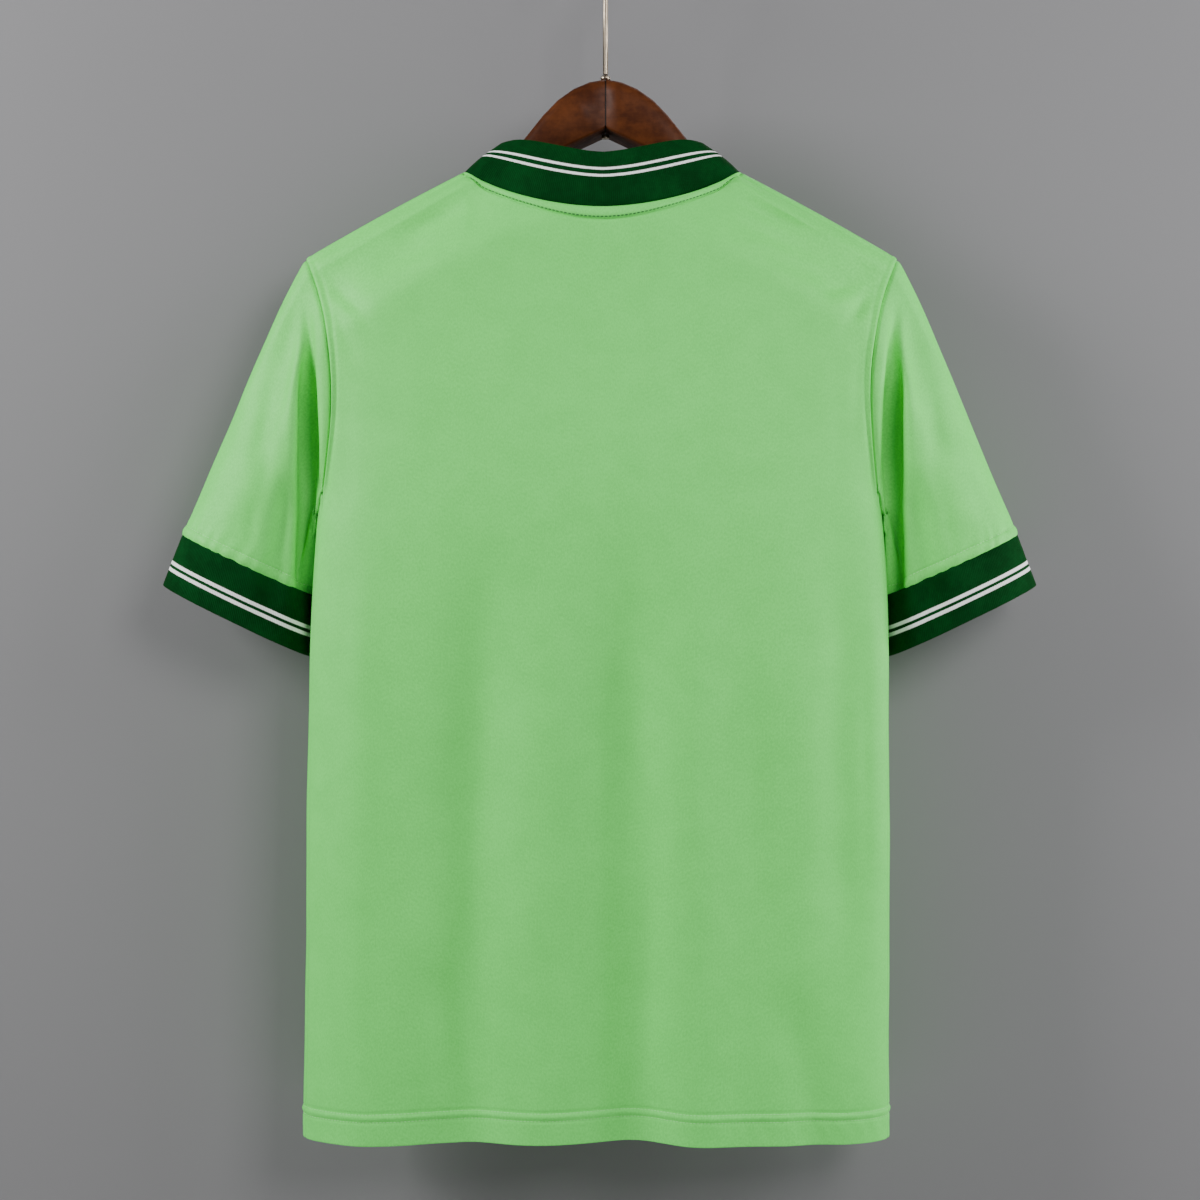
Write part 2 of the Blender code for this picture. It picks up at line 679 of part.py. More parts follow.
def ferrule():
    bpy.ops.mesh.primitive_uv_sphere_add(segments=16, ring_count=8, radius=FERRULE_RADIUS)
    obj = bpy.context.active_object
    obj.name = obj.data.name = "hook_ferrule"
    obj.location = (0.0, 0.0, FERRULE_Z)
    obj.scale = (1.0, 1.0, FERRULE_HALF_HEIGHT / FERRULE_RADIUS)
    obj.data.shade_smooth()
    give_material(obj, NICKEL)
    return obj


# ---- The whole part --------------------------------------------------------


def cloth_grids():
    """Every cloth piece's outer face, before its seams are parted."""
    back, front = panel(BACK), panel(FRONT)
    grids = {"back_panel": back, "front_panel": front, "collar": collar(back, front)}
    for word, hand in (("left", -1), ("right", 1)):
        tube, angles = sleeve(back, front, hand)
        band = cuff(tube, angles, hand)
        grids["sleeve_" + word] = tube if hand < 0 else tube[:, ::-1]
        grids["cuff_" + word] = band if hand < 0 else band[:, ::-1]
    return grids


def make_cloth():
    grids = cloth_grids()
    closed = {name: not name.endswith("panel") for name in grids}
    leans = shared_normals(grids, closed)
    for name, grid in grids.items():
        rib = name.startswith(("cuff", "collar"))
        hem = name.startswith(("cuff", "back", "front"))
        lean, facing = leans[name]
        outer = pull_back(grid, facing, closed[name], hem)
        inner = outer - lean / facing * (RIB_WALL if rib else CLOTH_WALL)
        points = np.concatenate([outer.reshape(-1, 3), inner.reshape(-1, 3)])
        faces = wall_faces(grid, lean, closed[name])
        add_mesh(name, points, faces, DARK_GREEN_RIB if rib else GREEN_KNIT)


def main():
    for obj in list(bpy.data.objects):
        bpy.data.objects.remove(obj)
    make_cloth()
    hanger_arm("hanger_arm_left", -1)
    hanger_arm("hanger_arm_right", 1)
    ferrule()
    hook()


main()
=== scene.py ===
# %% [markdown]
# # A football jersey on a wooden hanger
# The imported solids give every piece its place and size, and this lesson dresses
# them. The cloth is made again as thin walls on the same form, with finer folds,
# seams and stitches, and the hanger and hook are smoothed copies of their solids.

from collections import namedtuple
from math import acos, atan, cos, exp, pi, radians, sin, tan

import bpy
import numpy as np
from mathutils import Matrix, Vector, noise


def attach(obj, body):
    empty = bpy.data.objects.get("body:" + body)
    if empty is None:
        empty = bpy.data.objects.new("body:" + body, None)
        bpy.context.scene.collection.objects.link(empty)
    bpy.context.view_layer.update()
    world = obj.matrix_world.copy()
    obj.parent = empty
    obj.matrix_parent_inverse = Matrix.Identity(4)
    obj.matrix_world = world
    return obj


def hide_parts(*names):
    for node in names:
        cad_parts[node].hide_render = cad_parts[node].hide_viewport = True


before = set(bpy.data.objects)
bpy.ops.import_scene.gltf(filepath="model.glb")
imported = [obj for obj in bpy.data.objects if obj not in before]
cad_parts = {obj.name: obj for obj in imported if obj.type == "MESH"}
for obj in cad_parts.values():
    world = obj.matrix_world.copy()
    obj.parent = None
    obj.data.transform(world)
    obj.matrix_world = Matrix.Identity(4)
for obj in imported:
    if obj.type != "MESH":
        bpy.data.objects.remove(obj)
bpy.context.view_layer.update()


print("nodes:", sorted(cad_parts))

# %% [markdown]
# ## Camera
# The camera stands level in front of the jersey's back. A lens a little longer
# than normal keeps the hem and the shoulders in proportion. It comes first, so
# that every later piece can be judged from there.

# %% Camera
CAMERA_AT = (-0.0042, -1.5, -0.511)
LENS_MM = 59.22
SENSOR_MM = 36.0


def new_object(name, data):
    """A new object in the scene's collection."""
    obj = bpy.data.objects.new(name, data)
    bpy.context.collection.objects.link(obj)
    return obj


camera_data = bpy.data.cameras.new("camera")
camera_data.lens = LENS_MM
camera_data.sensor_width = SENSOR_MM
camera_data.clip_start = 0.02
camera = new_object("camera", camera_data)
camera.location = CAMERA_AT
camera.rotation_euler = (pi / 2, 0.0, 0.0)
bpy.context.scene.camera = camera
print("camera at", CAMERA_AT)

# %% [markdown]
# ## The form of the hanging cloth
# A jersey on a hanger is two panels that meet over the shoulders. Each point of
# the cloth is found from how far it lies over the shoulder's highest line, and
# from its angle round the body. The sizes are those of the solids, so the cloth
# lies on them. A cloth simulation would also drape it, but the folds would then
# fall where they like, and here they have their own places.

# %% Sizes of the cloth
HANG_OFFSET = -0.0027
HANG_LEAN = 0.0058
HANG_LEAN_FROM = -0.200
TIP_HALF = 0.2238
TIP_Z = -0.2525
SHOULDER_SLOPE = tan(radians(28.5))
SHOULDER_CROWN = 0.0010
ROLL_DEPTH = 0.024
ROLL_HEIGHT = 0.014
ROLL_LENGTH = 0.031
SEAM_LEAD = 0.0076
NECK_HALF = 0.105
BACK_NECK_Z = -0.2200
BACK_NECK_POWER = 1.95
FRONT_NECK_Z = -0.2745
FRONT_NECK_POWER = 1.3
UNDERARM_Z = -0.430
HEM_SIDE_Z = -0.9130
HEM_MIDDLE_Z = -0.9085
TIP_OUT_HALF = 0.2255
WAIST_HALF = 0.2190
HEM_FLARE = 0.0017
UNDERARM_TUCK = 0.0088
UNDERARM_TUCK_FADE = 0.060
SIDE_SEAM_SETBACK = 0.015
WIDEST_SHIFT = -0.008
SHOULDER_SQUARENESS = 3.8
SQUARENESS_FROM_Z = -0.270
SQUARENESS_TO_Z = -0.460
BACK_ARMHOLE_BOW = 0.014
FRONT_ARMHOLE_BOW = 0.016
ARMHOLE_SKEW = 0.87
UNDERARM_SWING_FROM = 0.66
SHOULDER_PLACES = 9
NECK_PLACES = 11
MIDDLE_PLACE = SHOULDER_PLACES + NECK_PLACES
ROLL_ROWS = 4
ARMHOLE_ROWS = 12
BODY_ROWS = 26

Side = namedtuple("Side", "sign squareness neck_gain neck_over chest_gain chest_over")
BACK = Side(-1, 2.8, 0.020, 0.055, 0.004, 0.20)
FRONT = Side(1, 2.4, 0.022, 0.090, 0.018, 0.15)
CHEST_FROM = 0.100


def smooth(share):
    """0 below 0, 1 above 1, and an even S in between."""
    share = min(1.0, max(0.0, share))
    return share * share * (3 - 2 * share)


def mix(low, high, share):
    return low + (high - low) * share


def unit(vector):
    return vector / np.maximum(np.linalg.norm(vector, axis=-1, keepdims=True), 1e-12)


def middle_x(z):
    """The jersey's own middle line, which leans a little off plumb."""
    return HANG_OFFSET - HANG_LEAN * (HANG_LEAN_FROM - z)


def ridge(x):
    """Height of the cloth's highest line, closed across the neck by a dome."""
    x = abs(x)
    line = TIP_Z + (TIP_HALF - max(x, NECK_HALF)) * SHOULDER_SLOPE
    if NECK_HALF < x < TIP_HALF:
        line += SHOULDER_CROWN * sin(pi * (x - NECK_HALF) / (TIP_HALF - NECK_HALF))
    inside = max(0.0, 1 - (x / NECK_HALF) ** 2)
    return line + SHOULDER_SLOPE * NECK_HALF * inside / 2


def over_shoulder(along):
    """(reach, drop) of the cloth at a distance over it from the ridge."""
    if along < ROLL_LENGTH:
        turn = pi / 2 * along / ROLL_LENGTH
        return sin(turn), ROLL_HEIGHT * (1 - cos(turn))
    return 1.0, ROLL_HEIGHT + along - ROLL_LENGTH


def along_for(drop):
    """How far over the cloth a drop lies."""
    if drop < ROLL_HEIGHT:
        return ROLL_LENGTH * acos(1 - drop / ROLL_HEIGHT) / (pi / 2)
    return ROLL_LENGTH + drop - ROLL_HEIGHT


def half_depth(side, drop):
    neck = side.neck_gain * smooth((drop - ROLL_HEIGHT) / side.neck_over)
    chest = side.chest_gain * smooth((drop - CHEST_FROM) / side.chest_over)
    return ROLL_DEPTH + neck + chest


def half_width(z):
    if z > UNDERARM_Z:
        share = (TIP_Z - z) / (TIP_Z - UNDERARM_Z)
        return mix(TIP_OUT_HALF, WAIST_HALF - UNDERARM_TUCK, smooth(share))
    below = UNDERARM_Z - z
    flare = HEM_FLARE * below / (UNDERARM_Z - HEM_SIDE_Z)
    return WAIST_HALF + flare - UNDERARM_TUCK * exp(-below / UNDERARM_TUCK_FADE)


def settling(z):
    """0 over the hanger and 1 where the cloth hangs free."""
    return smooth((SQUARENESS_FROM_Z - z) / (SQUARENESS_FROM_Z - SQUARENESS_TO_Z))


def squareness(side, z):
    return mix(SHOULDER_SQUARENESS, side.squareness, settling(z))


def on_corner(turn, power):
    """The unit rounded corner at an angle from its wide end."""
    across, out = cos(turn), abs(sin(turn))
    size = (across**power + out**power) ** (1 / power)
    return across / size, out / size


def turn_at(x, side, z):
    """The angle at which a section is x from the middle."""
    if x < 1e-6:
        return pi / 2
    power = squareness(side, z)
    return atan(max(0.0, (half_width(z) / x) ** power - 1) ** (1 / power))


def seam_turn(z):
    """The angle of the side seam, just behind the widest point."""
    power = squareness(BACK, z)
    share = SIDE_SEAM_SETBACK / half_depth(BACK, ridge(TIP_HALF) - z)
    return atan(share / (1 - share**power) ** (1 / power))


def armhole_turn(side, z, share):
    """The angle of the armhole's edge, from the shoulder tip (0) to the underarm (1)."""
    low = half_width(UNDERARM_Z) * on_corner(seam_turn(UNDERARM_Z), squareness(BACK, UNDERARM_Z))[0]
    bow = BACK_ARMHOLE_BOW if side is BACK else FRONT_ARMHOLE_BOW
    x = mix(TIP_HALF, low, share) - bow * sin(pi * share**ARMHOLE_SKEW)
    turn = turn_at(x, side, z)
    if side is FRONT:
        swing = smooth((share - UNDERARM_SWING_FROM) / (1 - UNDERARM_SWING_FROM))
        turn = mix(turn, -seam_turn(UNDERARM_Z), swing)
    return turn


print("waist", round(2 * WAIST_HALF, 3), "m, hem", round(TIP_Z - HEM_SIDE_Z, 3), "m below the tips")

# %% [markdown]
# ## Folds and drag lines
# Hanging cloth shows long soft folds down the body, and short drag lines that
# run from where it is held, at the shoulder tips and round the armholes. Each
# is a row of a table: where it starts and ends, how wide it is and how deep.
# Depth is inwards, so a ridge is negative. No two are alike in length or depth,
# because an even set of folds looks like corrugated sheet.

# %% Fold tables
def table(kind, *rows):
    """Rows of values, each with the names of its kind."""
    return [kind(*row) for row in rows]


Fold = namedtuple("Fold", "x_top z_top x_low z_low half_width depth")
BACK_FOLDS = table(
    Fold,
    (-0.087, -0.43, -0.094, -0.93, 0.024, 0.01),
    (0.015, -0.44, 0.028, -0.93, 0.026, 0.0115),
    (0.178, -0.4, 0.182, -0.86, 0.02, 0.006),
    (0.139, -0.78, 0.166, -0.93, 0.016, 0.0038),
    (-0.13, -0.76, -0.122, -0.93, 0.018, 0.004),
    (-0.18, -0.38, -0.176, -0.93, 0.022, -0.004),
    (-0.037, -0.45, -0.038, -0.93, 0.024, -0.0045),
    (0.066, -0.45, 0.076, -0.93, 0.025, -0.006),
)
FRONT_FOLDS = table(
    Fold,
    (-0.118, -0.4, -0.104, -0.93, 0.024, 0.009),
    (-0.012, -0.48, -0.022, -0.93, 0.028, 0.008),
    (0.096, -0.41, 0.112, -0.93, 0.024, 0.0095),
    (0.165, -0.56, 0.16, -0.93, 0.018, 0.005),
    (0.05, -0.5, 0.044, -0.93, 0.024, -0.005),
    (-0.066, -0.46, -0.062, -0.93, 0.024, -0.0045),
)
SLEEVE_BACK_FOLDS = table(
    Fold,
    (0.216, -0.285, 0.2215, -0.53, 0.0075, 0.016),
    (0.231, -0.275, 0.262, -0.43, 0.009, 0.005),
    (0.232, -0.41, 0.248, -0.53, 0.01, 0.006),
)
SLEEVE_FRONT_FOLDS = table(
    Fold,
    (0.22, -0.3, 0.235, -0.53, 0.009, 0.012),
    (0.235, -0.29, 0.27, -0.46, 0.011, 0.005),
)
FOLD_FADE = 0.35
SEAM_CALM = 0.14
DRAG_TAPER = 1.3

# Drag lines are short creases in any direction, fading towards both ends.
Drag = namedtuple("Drag", "x_from z_from x_to z_to half_width depth")
BACK_DRAGS = table(
    Drag,
    (-0.212, -0.265, -0.16, -0.315, 0.006, 0.0026),
    (-0.206, -0.282, -0.178, -0.34, 0.007, 0.0022),
    (0.208, -0.27, 0.172, -0.323, 0.006, 0.003),
    (0.212, -0.262, 0.15, -0.29, 0.006, 0.0026),
    (0.194, -0.295, 0.187, -0.42, 0.006, 0.0012),
    (0.179, -0.315, 0.176, -0.44, 0.0085, 0.001),
    (0.095, -0.21, 0.166, -0.24, 0.0055, 0.003),
    (0.09, -0.225, 0.18, -0.26, 0.0065, 0.0028),
    (0.105, -0.248, 0.205, -0.285, 0.008, 0.0028),
    (-0.1, -0.215, -0.156, -0.242, 0.006, 0.0024),
    (-0.1, -0.235, -0.185, -0.268, 0.008, 0.0022),
    (-0.19, -0.33, -0.186, -0.45, 0.007, 0.0008),
    (-0.183, -0.46, -0.193, -0.62, 0.008, 0.0007),
    (-0.11, -0.76, -0.09, -0.9, 0.008, 0.001),
    (0.042, -0.6, 0.037, -0.89, 0.009, 0.0012),
    (-0.015, -0.62, -0.008, -0.88, 0.008, 0.001),
    (0.113, -0.52, 0.118, -0.8, 0.01, 0.001),
    (0.196, -0.5, 0.201, -0.76, 0.006, 0.0009),
    (-0.16, -0.56, -0.166, -0.84, 0.009, 0.0009),
)
FRONT_DRAGS = table(
    Drag,
    (-0.21, -0.27, -0.16, -0.325, 0.006, 0.001),
    (0.209, -0.272, 0.164, -0.318, 0.006, 0.001),
    (0.19, -0.31, 0.178, -0.45, 0.008, 0.0011),
    (-0.188, -0.32, -0.18, -0.43, 0.008, 0.0012),
    (-0.08, -0.295, -0.135, -0.39, 0.008, 0.0008),
    (0.082, -0.3, 0.13, -0.405, 0.008, 0.0008),
    (-0.15, -0.54, -0.156, -0.86, 0.009, 0.0011),
    (0.015, -0.56, 0.01, -0.86, 0.009, 0.001),
    (0.135, -0.6, 0.14, -0.89, 0.008, 0.001),
)
SLEEVE_DRAGS = table(
    Drag,
    (0.224, -0.282, 0.216, -0.37, 0.0036, 0.003),
    (0.2205, -0.285, 0.2185, -0.445, 0.0045, 0.008),
    (0.218, -0.35, 0.22, -0.54, 0.0055, 0.009),
    (0.22, -0.44, 0.222, -0.6, 0.0055, 0.008),
    (0.228, -0.278, 0.243, -0.39, 0.006, 0.0022),
    (0.242, -0.35, 0.256, -0.46, 0.007, 0.0018),
    (0.23, -0.4, 0.242, -0.5, 0.0055, 0.0026),
    (0.229, -0.33, 0.23, -0.43, 0.005, -0.0016),
    (0.258, -0.435, 0.26, -0.475, 0.0045, 0.0012),
    (0.272, -0.41, 0.296, -0.47, 0.006, 0.0008),
    (0.242, -0.3, 0.29, -0.43, 0.006, -0.0008),
)


def fold_depth(folds, x, z):
    """How far the long folds push a point inwards."""
    total = 0.0
    for fold in folds:
        share = (fold.z_top - z) / (fold.z_top - fold.z_low)
        if not 0 < share < 1:
            continue
        middle = mix(fold.x_top, fold.x_low, share)
        open_here = smooth(share / FOLD_FADE)
        if fold.z_low >= HEM_SIDE_Z:
            open_here *= smooth((1 - share) / FOLD_FADE)
        total += fold.depth * open_here * exp(-(((x - middle) / fold.half_width) ** 2))
    return total


def drag_depth(drags, x, z):
    """How far the drag lines push points inwards; x and z are arrays."""
    total = np.zeros_like(x)
    for drag in drags:
        run_x, run_z = drag.x_to - drag.x_from, drag.z_to - drag.z_from
        length = (run_x**2 + run_z**2) ** 0.5
        share = ((x - drag.x_from) * run_x + (z - drag.z_from) * run_z) / length**2
        off = ((x - drag.x_from) * run_z - (z - drag.z_from) * run_x) / length
        inside = np.clip(share, 0, 1)
        across = np.exp(-((off / drag.half_width) ** 2))
        total += drag.depth * np.sin(pi * inside) ** DRAG_TAPER * across
    return total


print(len(BACK_FOLDS + FRONT_FOLDS), "long folds,", len(BACK_DRAGS + FRONT_DRAGS), "drag lines")

# %% [markdown]
# ## Grids of the two panels
# A panel is a grid. Its columns start on the shoulder seam and the neckline, and
# its rows run from there down to the hem. The rows lie close together at the
# neck and the hem, where stitches and the puffed seam strip need fine steps.

# %% Panel grids
def column_top(side, place):
    """(x, along) where a column starts, from the shoulder tip (0) to the middle (20)."""
    lead = -side.sign * SEAM_LEAD
    if place <= SHOULDER_PLACES:
        return mix(TIP_HALF, NECK_HALF, place / SHOULDER_PLACES), lead
    angle = pi / 2 * (1 - (place - SHOULDER_PLACES) / NECK_PLACES)
    x = NECK_HALF * sin(angle)
    if side is BACK:
        point_z = ridge(NECK_HALF) - over_shoulder(SEAM_LEAD)[1]
        z = mix(BACK_NECK_Z, point_z, sin(angle) ** BACK_NECK_POWER)
        return x, along_for(ridge(x) - z)
    deepest = along_for(ridge(0) - FRONT_NECK_Z)
    return x, mix(lead, deepest, max(0.0, cos(angle)) ** FRONT_NECK_POWER)


def row_along(side, row, top, x):
    """How far over the cloth a row lies from the ridge, in a column that starts at top."""
    lead = -side.sign * SEAM_LEAD
    rolled = top + (ROLL_LENGTH - lead) * min(row, ROLL_ROWS) / ROLL_ROWS
    if row <= ROLL_ROWS:
        return rolled
    hem_z = mix(HEM_SIDE_Z, HEM_MIDDLE_Z, smooth(1 - x / TIP_HALF))
    hem = along_for(ridge(x) - hem_z)
    side_hem = along_for(TIP_Z - HEM_SIDE_Z)
    underarm = (along_for(TIP_Z - UNDERARM_Z) - ROLL_LENGTH) / (side_hem - ROLL_LENGTH)
    if row <= ARMHOLE_ROWS:
        share = underarm * (row - ROLL_ROWS) / (ARMHOLE_ROWS - ROLL_ROWS)
    else:
        share = mix(underarm, 1, (row - ARMHOLE_ROWS) / (BODY_ROWS - ARMHOLE_ROWS))
    return mix(rolled, hem, share)


def edge_turn(side, row):
    """The angle of a panel's own edge: the armhole, and below it the side seam."""
    lead = -side.sign * SEAM_LEAD
    top_z = TIP_Z - over_shoulder(lead)[1]
    z = TIP_Z - over_shoulder(row_along(side, row, lead, TIP_HALF))[1]
    if row < ARMHOLE_ROWS:
        return armhole_turn(side, z, max(0.0, (top_z - z) / (top_z - UNDERARM_Z)))
    return -side.sign * seam_turn(z)


def panel_point(side, row, top, edge, share, x_top):
    """A point of a panel; share runs from 0 at the panel's edge to 1 at its middle."""
    turn = mix(edge, pi / 2, share)
    drop = over_shoulder(row_along(side, row, top, x_top))[1]
    power = squareness(side, ridge(x_top) - drop)
    own_x = TIP_HALF * on_corner(turn, power)[0] / on_corner(edge, power)[0]
    x_ridge = mix(x_top, own_x, smooth(row / ARMHOLE_ROWS))
    reach, drop = over_shoulder(row_along(side, row, top, x_ridge))
    z = ridge(x_ridge) - drop
    facing = side if turn >= 0 else BACK
    across, out = on_corner(turn, squareness(facing, z))
    y = WIDEST_SHIFT * settling(z) + facing.sign * reach * half_depth(facing, drop) * out
    return half_width(z) * across, y, z


def steps(*stretches):
    """Values from stretches of (start, stop, step), each once."""
    values = [np.arange(start, stop - 1e-9, step) for start, stop, step in stretches]
    return np.append(np.concatenate(values), stretches[-1][1])


ROWS = steps((0, 6, 0.125), (6, 25.2, 0.25), (25.2, 26, 0.035))
PLACES = steps((0, 0.6, 0.06), (0.6, 1, 0.1), (1, MIDDLE_PLACE, 0.25))
ARMHOLE_END = int(np.searchsorted(ROWS, ARMHOLE_ROWS - 1e-6))


def panel(side):
    """A panel's outer face as a grid. The back runs left to right, the front right to left."""
    folds = BACK_FOLDS if side is BACK else FRONT_FOLDS
    last = len(PLACES) - 1
    first_edge = edge_turn(side, 0)
    columns = [column_top(side, place) for place in PLACES]
    top_turns = [first_edge] + [turn_at(x, side, TIP_Z) for x, _ in columns[1:]]
    grid = np.zeros((len(ROWS), 2 * last + 1, 3))
    for r, row in enumerate(ROWS):
        edge = edge_turn(side, row)
        settled = smooth(row / ARMHOLE_ROWS)
        for c, (x_top, top) in enumerate(columns):
            top_share = (top_turns[c] - first_edge) / (pi / 2 - first_edge)
            share = mix(top_share, PLACES[c] / MIDDLE_PLACE, settled)
            x, y, z = panel_point(side, row, top, edge, share, x_top)
            calm = smooth(share / SEAM_CALM)
            for hand, place in ((side.sign, c), (-side.sign, 2 * last - c)):
                push = calm * fold_depth(folds, hand * x, z)
                grid[r, place] = hand * x + middle_x(z), y - side.sign * push, z
    return grid


back_base, front_base = panel(BACK), panel(FRONT)
print("panel grids", back_base.shape[:2])

# %% [markdown]
# ## Grids of the sleeves, cuffs and collar
# A sleeve starts on the armhole's own loop of points, which the panels share, so
# its seam closes exactly. It runs straight to the flattened oval of the cuff. The
# collar is a ring between the neck seam and its own free edge.

# %% Sleeve, cuff and collar grids
CuffEdge = namedtuple("CuffEdge", "outer_x outer_z inner_x inner_z middle_y half_depth")
CUFF_SEAM = CuffEdge(0.3183, -0.4605, 0.2160, -0.5082, 0.012, 0.044)
CUFF_HEM = CuffEdge(0.3332, -0.4985, 0.2195, -0.5532, 0.012, 0.039)
CUFF_SQUARENESS = 2.3
SLEEVE_SLOPE = radians(24.4)
CAP_BULGE = 0.0035
UNDERARM_BULGE = 0.0050
UNDERARM_BULGE_RISE = 0.6
BACK_BULGE_POWER = 8
FRONT_BULGE_POWER = 4
FRONT_TUCK = 0.0070
SLEEVE_SHARES = steps((0, 0.4, 0.05), (0.4, 10, 0.16), (10, 11, 0.05)) / 11
CUFF_SHARES = np.linspace(0, 1, 29)
COLLAR_HALF = 0.0785
COLLAR_SIDE_Z = -0.1668
COLLAR_BACK_Y = -0.0360
COLLAR_BACK_Z = -0.1789
COLLAR_FRONT_Y = 0.0370
COLLAR_FRONT_Z = -0.2365
COLLAR_RISE_SPEED = 1.5
COLLAR_RISE_POWER = 1.6
COLLAR_SWELL = 0.0015
COLLAR_ROUNDNESS = 0.75
COLLAR_FALL_POWER = 1.7
COLLAR_SHARES = np.linspace(0, 1, 33)
NECK_FROM = int(np.searchsorted(PLACES, SHOULDER_PLACES - 1e-6))


def armhole(back, front, hand):
    """The armhole's loop: shoulder tip, down the back, underarm and up the front."""
    back_edge = back[: ARMHOLE_END + 1, 0 if hand < 0 else -1]
    front_edge = front[: ARMHOLE_END + 1, -1 if hand < 0 else 0]
    return np.concatenate([back_edge, front_edge[ARMHOLE_END - 1 : 0 : -1]])


def around(loop):
    """Each point's angle by its length along an armhole: 0 at the tip, pi at the underarm."""
    lengths = np.linalg.norm(np.roll(loop, -1, axis=0) - loop, axis=1)
    reached = np.concatenate([[0.0], np.cumsum(lengths)])
    low = reached[ARMHOLE_END]
    down = pi * reached[: ARMHOLE_END + 1] / low
    up = pi + pi * (reached[ARMHOLE_END + 1 : -1] - low) / (reached[-1] - low)
    return np.concatenate([down, up])


def rounded(angle):
    """The unit oval at any angle, with out positive behind and negative in front."""
    across, out = cos(angle), sin(angle)
    size = (abs(across) ** CUFF_SQUARENESS + abs(out) ** CUFF_SQUARENESS) ** (1 / CUFF_SQUARENESS)
    return across / size, out / size


def cuff_loop(edge, angles, hand):
    """An open end of the sleeve or the cuff, as a flattened oval."""
    loop = []
    for angle in angles:
        across, out = rounded(angle)
        x = mix(edge.inner_x, edge.outer_x, (1 + across) / 2)
        z = mix(edge.inner_z, edge.outer_z, (1 + across) / 2)
        loop.append((hand * x + middle_x(z), edge.middle_y - edge.half_depth * out, z))
    return np.array(loop)


def sleeve_loop(top, low, angles, share, hand):
    """A ring of the sleeve, a share of the way from the armhole to the cuff seam."""
    ring = mix(top, low, share)
    for point, angle in zip(ring, angles):
        outer = cos(angle / 2) ** 4
        inner = sin(angle / 2) ** (BACK_BULGE_POWER if sin(angle) > 0 else FRONT_BULGE_POWER)
        cap = CAP_BULGE * sin(pi * share**0.5) * outer
        bulge = UNDERARM_BULGE * sin(pi * share**UNDERARM_BULGE_RISE) * inner
        if pi < angle < 1.5 * pi:
            bulge -= FRONT_TUCK * sin(pi * share) * sin(2 * (angle - pi))
        point[0] += hand * (cap * cos(SLEEVE_SLOPE) + bulge)
        point[2] += cap * sin(SLEEVE_SLOPE)
        folds = SLEEVE_BACK_FOLDS if sin(angle) > 0 else SLEEVE_FRONT_FOLDS
        push = fold_depth(folds, hand * (point[0] - middle_x(point[2])), point[2])
        point[1] += push * sin(angle) * smooth(4 * share)
    return ring


def halved(values, closing):
    """A closed row of values with one more halfway between each two; closing follows the last."""
    after = np.concatenate([values[1:], [closing]])
    pairs = np.stack([values, (values + after) / 2], axis=1)
    return pairs.reshape(2 * len(values), *values.shape[1:])


def sleeve_and_cuff(hand):
    """Grids of one sleeve and its cuff. The right hand's columns are turned round."""
    top = armhole(back_base, front_base, hand)
    angles = halved(around(top), 2 * pi)
    top = halved(top, top[0])
    seam, hem = cuff_loop(CUFF_SEAM, angles, hand), cuff_loop(CUFF_HEM, angles, hand)
    tube = np.array([sleeve_loop(top, seam, angles, share, hand) for share in SLEEVE_SHARES])
    band = np.array([mix(tube[-1], hem, share) for share in CUFF_SHARES])
    return (tube, band) if hand < 0 else (tube[:, ::-1], band[:, ::-1])


def collar_top(angle, side):
    """The collar's free edge; the angle is 0 in the middle and 90 degrees at the side."""
    x = COLLAR_HALF * sin(angle)
    round_share = max(0.0, cos(angle)) ** COLLAR_ROUNDNESS
    if side is BACK:
        rise = sin(min(pi / 2, COLLAR_RISE_SPEED * abs(angle))) ** COLLAR_RISE_POWER
        return x, COLLAR_BACK_Y * round_share, mix(COLLAR_BACK_Z, COLLAR_SIDE_Z, rise)
    fall = max(0.0, cos(angle)) ** COLLAR_FALL_POWER
    return x, COLLAR_FRONT_Y * round_share, mix(COLLAR_SIDE_Z, COLLAR_FRONT_Z, fall)


def collar():
    """The collar's grid, from its free edge down to the neck seam, back first."""
    seam = np.concatenate([grid[0, NECK_FROM:-NECK_FROM][:-1] for grid in (back_base, front_base)])
    half = PLACES[NECK_FROM:] - SHOULDER_PLACES
    across = np.concatenate([half, 2 * NECK_PLACES - half[-2::-1]])[:-1] / NECK_PLACES - 1
    top = []
    for side in (BACK, FRONT):
        for share in across:
            x, y, z = collar_top(pi / 2 * share, side)
            top.append((-side.sign * x + middle_x(z), y, z))
    top = np.array(top)
    rows = []
    for share in COLLAR_SHARES:
        ring = mix(top, seam, share)
        rows.append(ring + unit(ring - ring.mean(axis=0)) * COLLAR_SWELL * sin(pi * share))
    return np.array(rows)


tube_left, band_left = sleeve_and_cuff(-1)
tube_right, band_right = sleeve_and_cuff(1)
collar_base = collar()
print("sleeve", tube_left.shape[:2], "cuff", band_left.shape[:2], "collar", collar_base.shape[:2])

# %% [markdown]
# ## Relief: seams, hems and small wrinkles
# Seams are what tell cloth from paper. Each seam is a low roll beside a narrow
# ditch, and the strip under the collar is puffed, because the seam allowance
# lies folded inside it. All of it is a height over the smooth grid, worked out
# from how far a point lies from each edge, and then pushed along the normal.

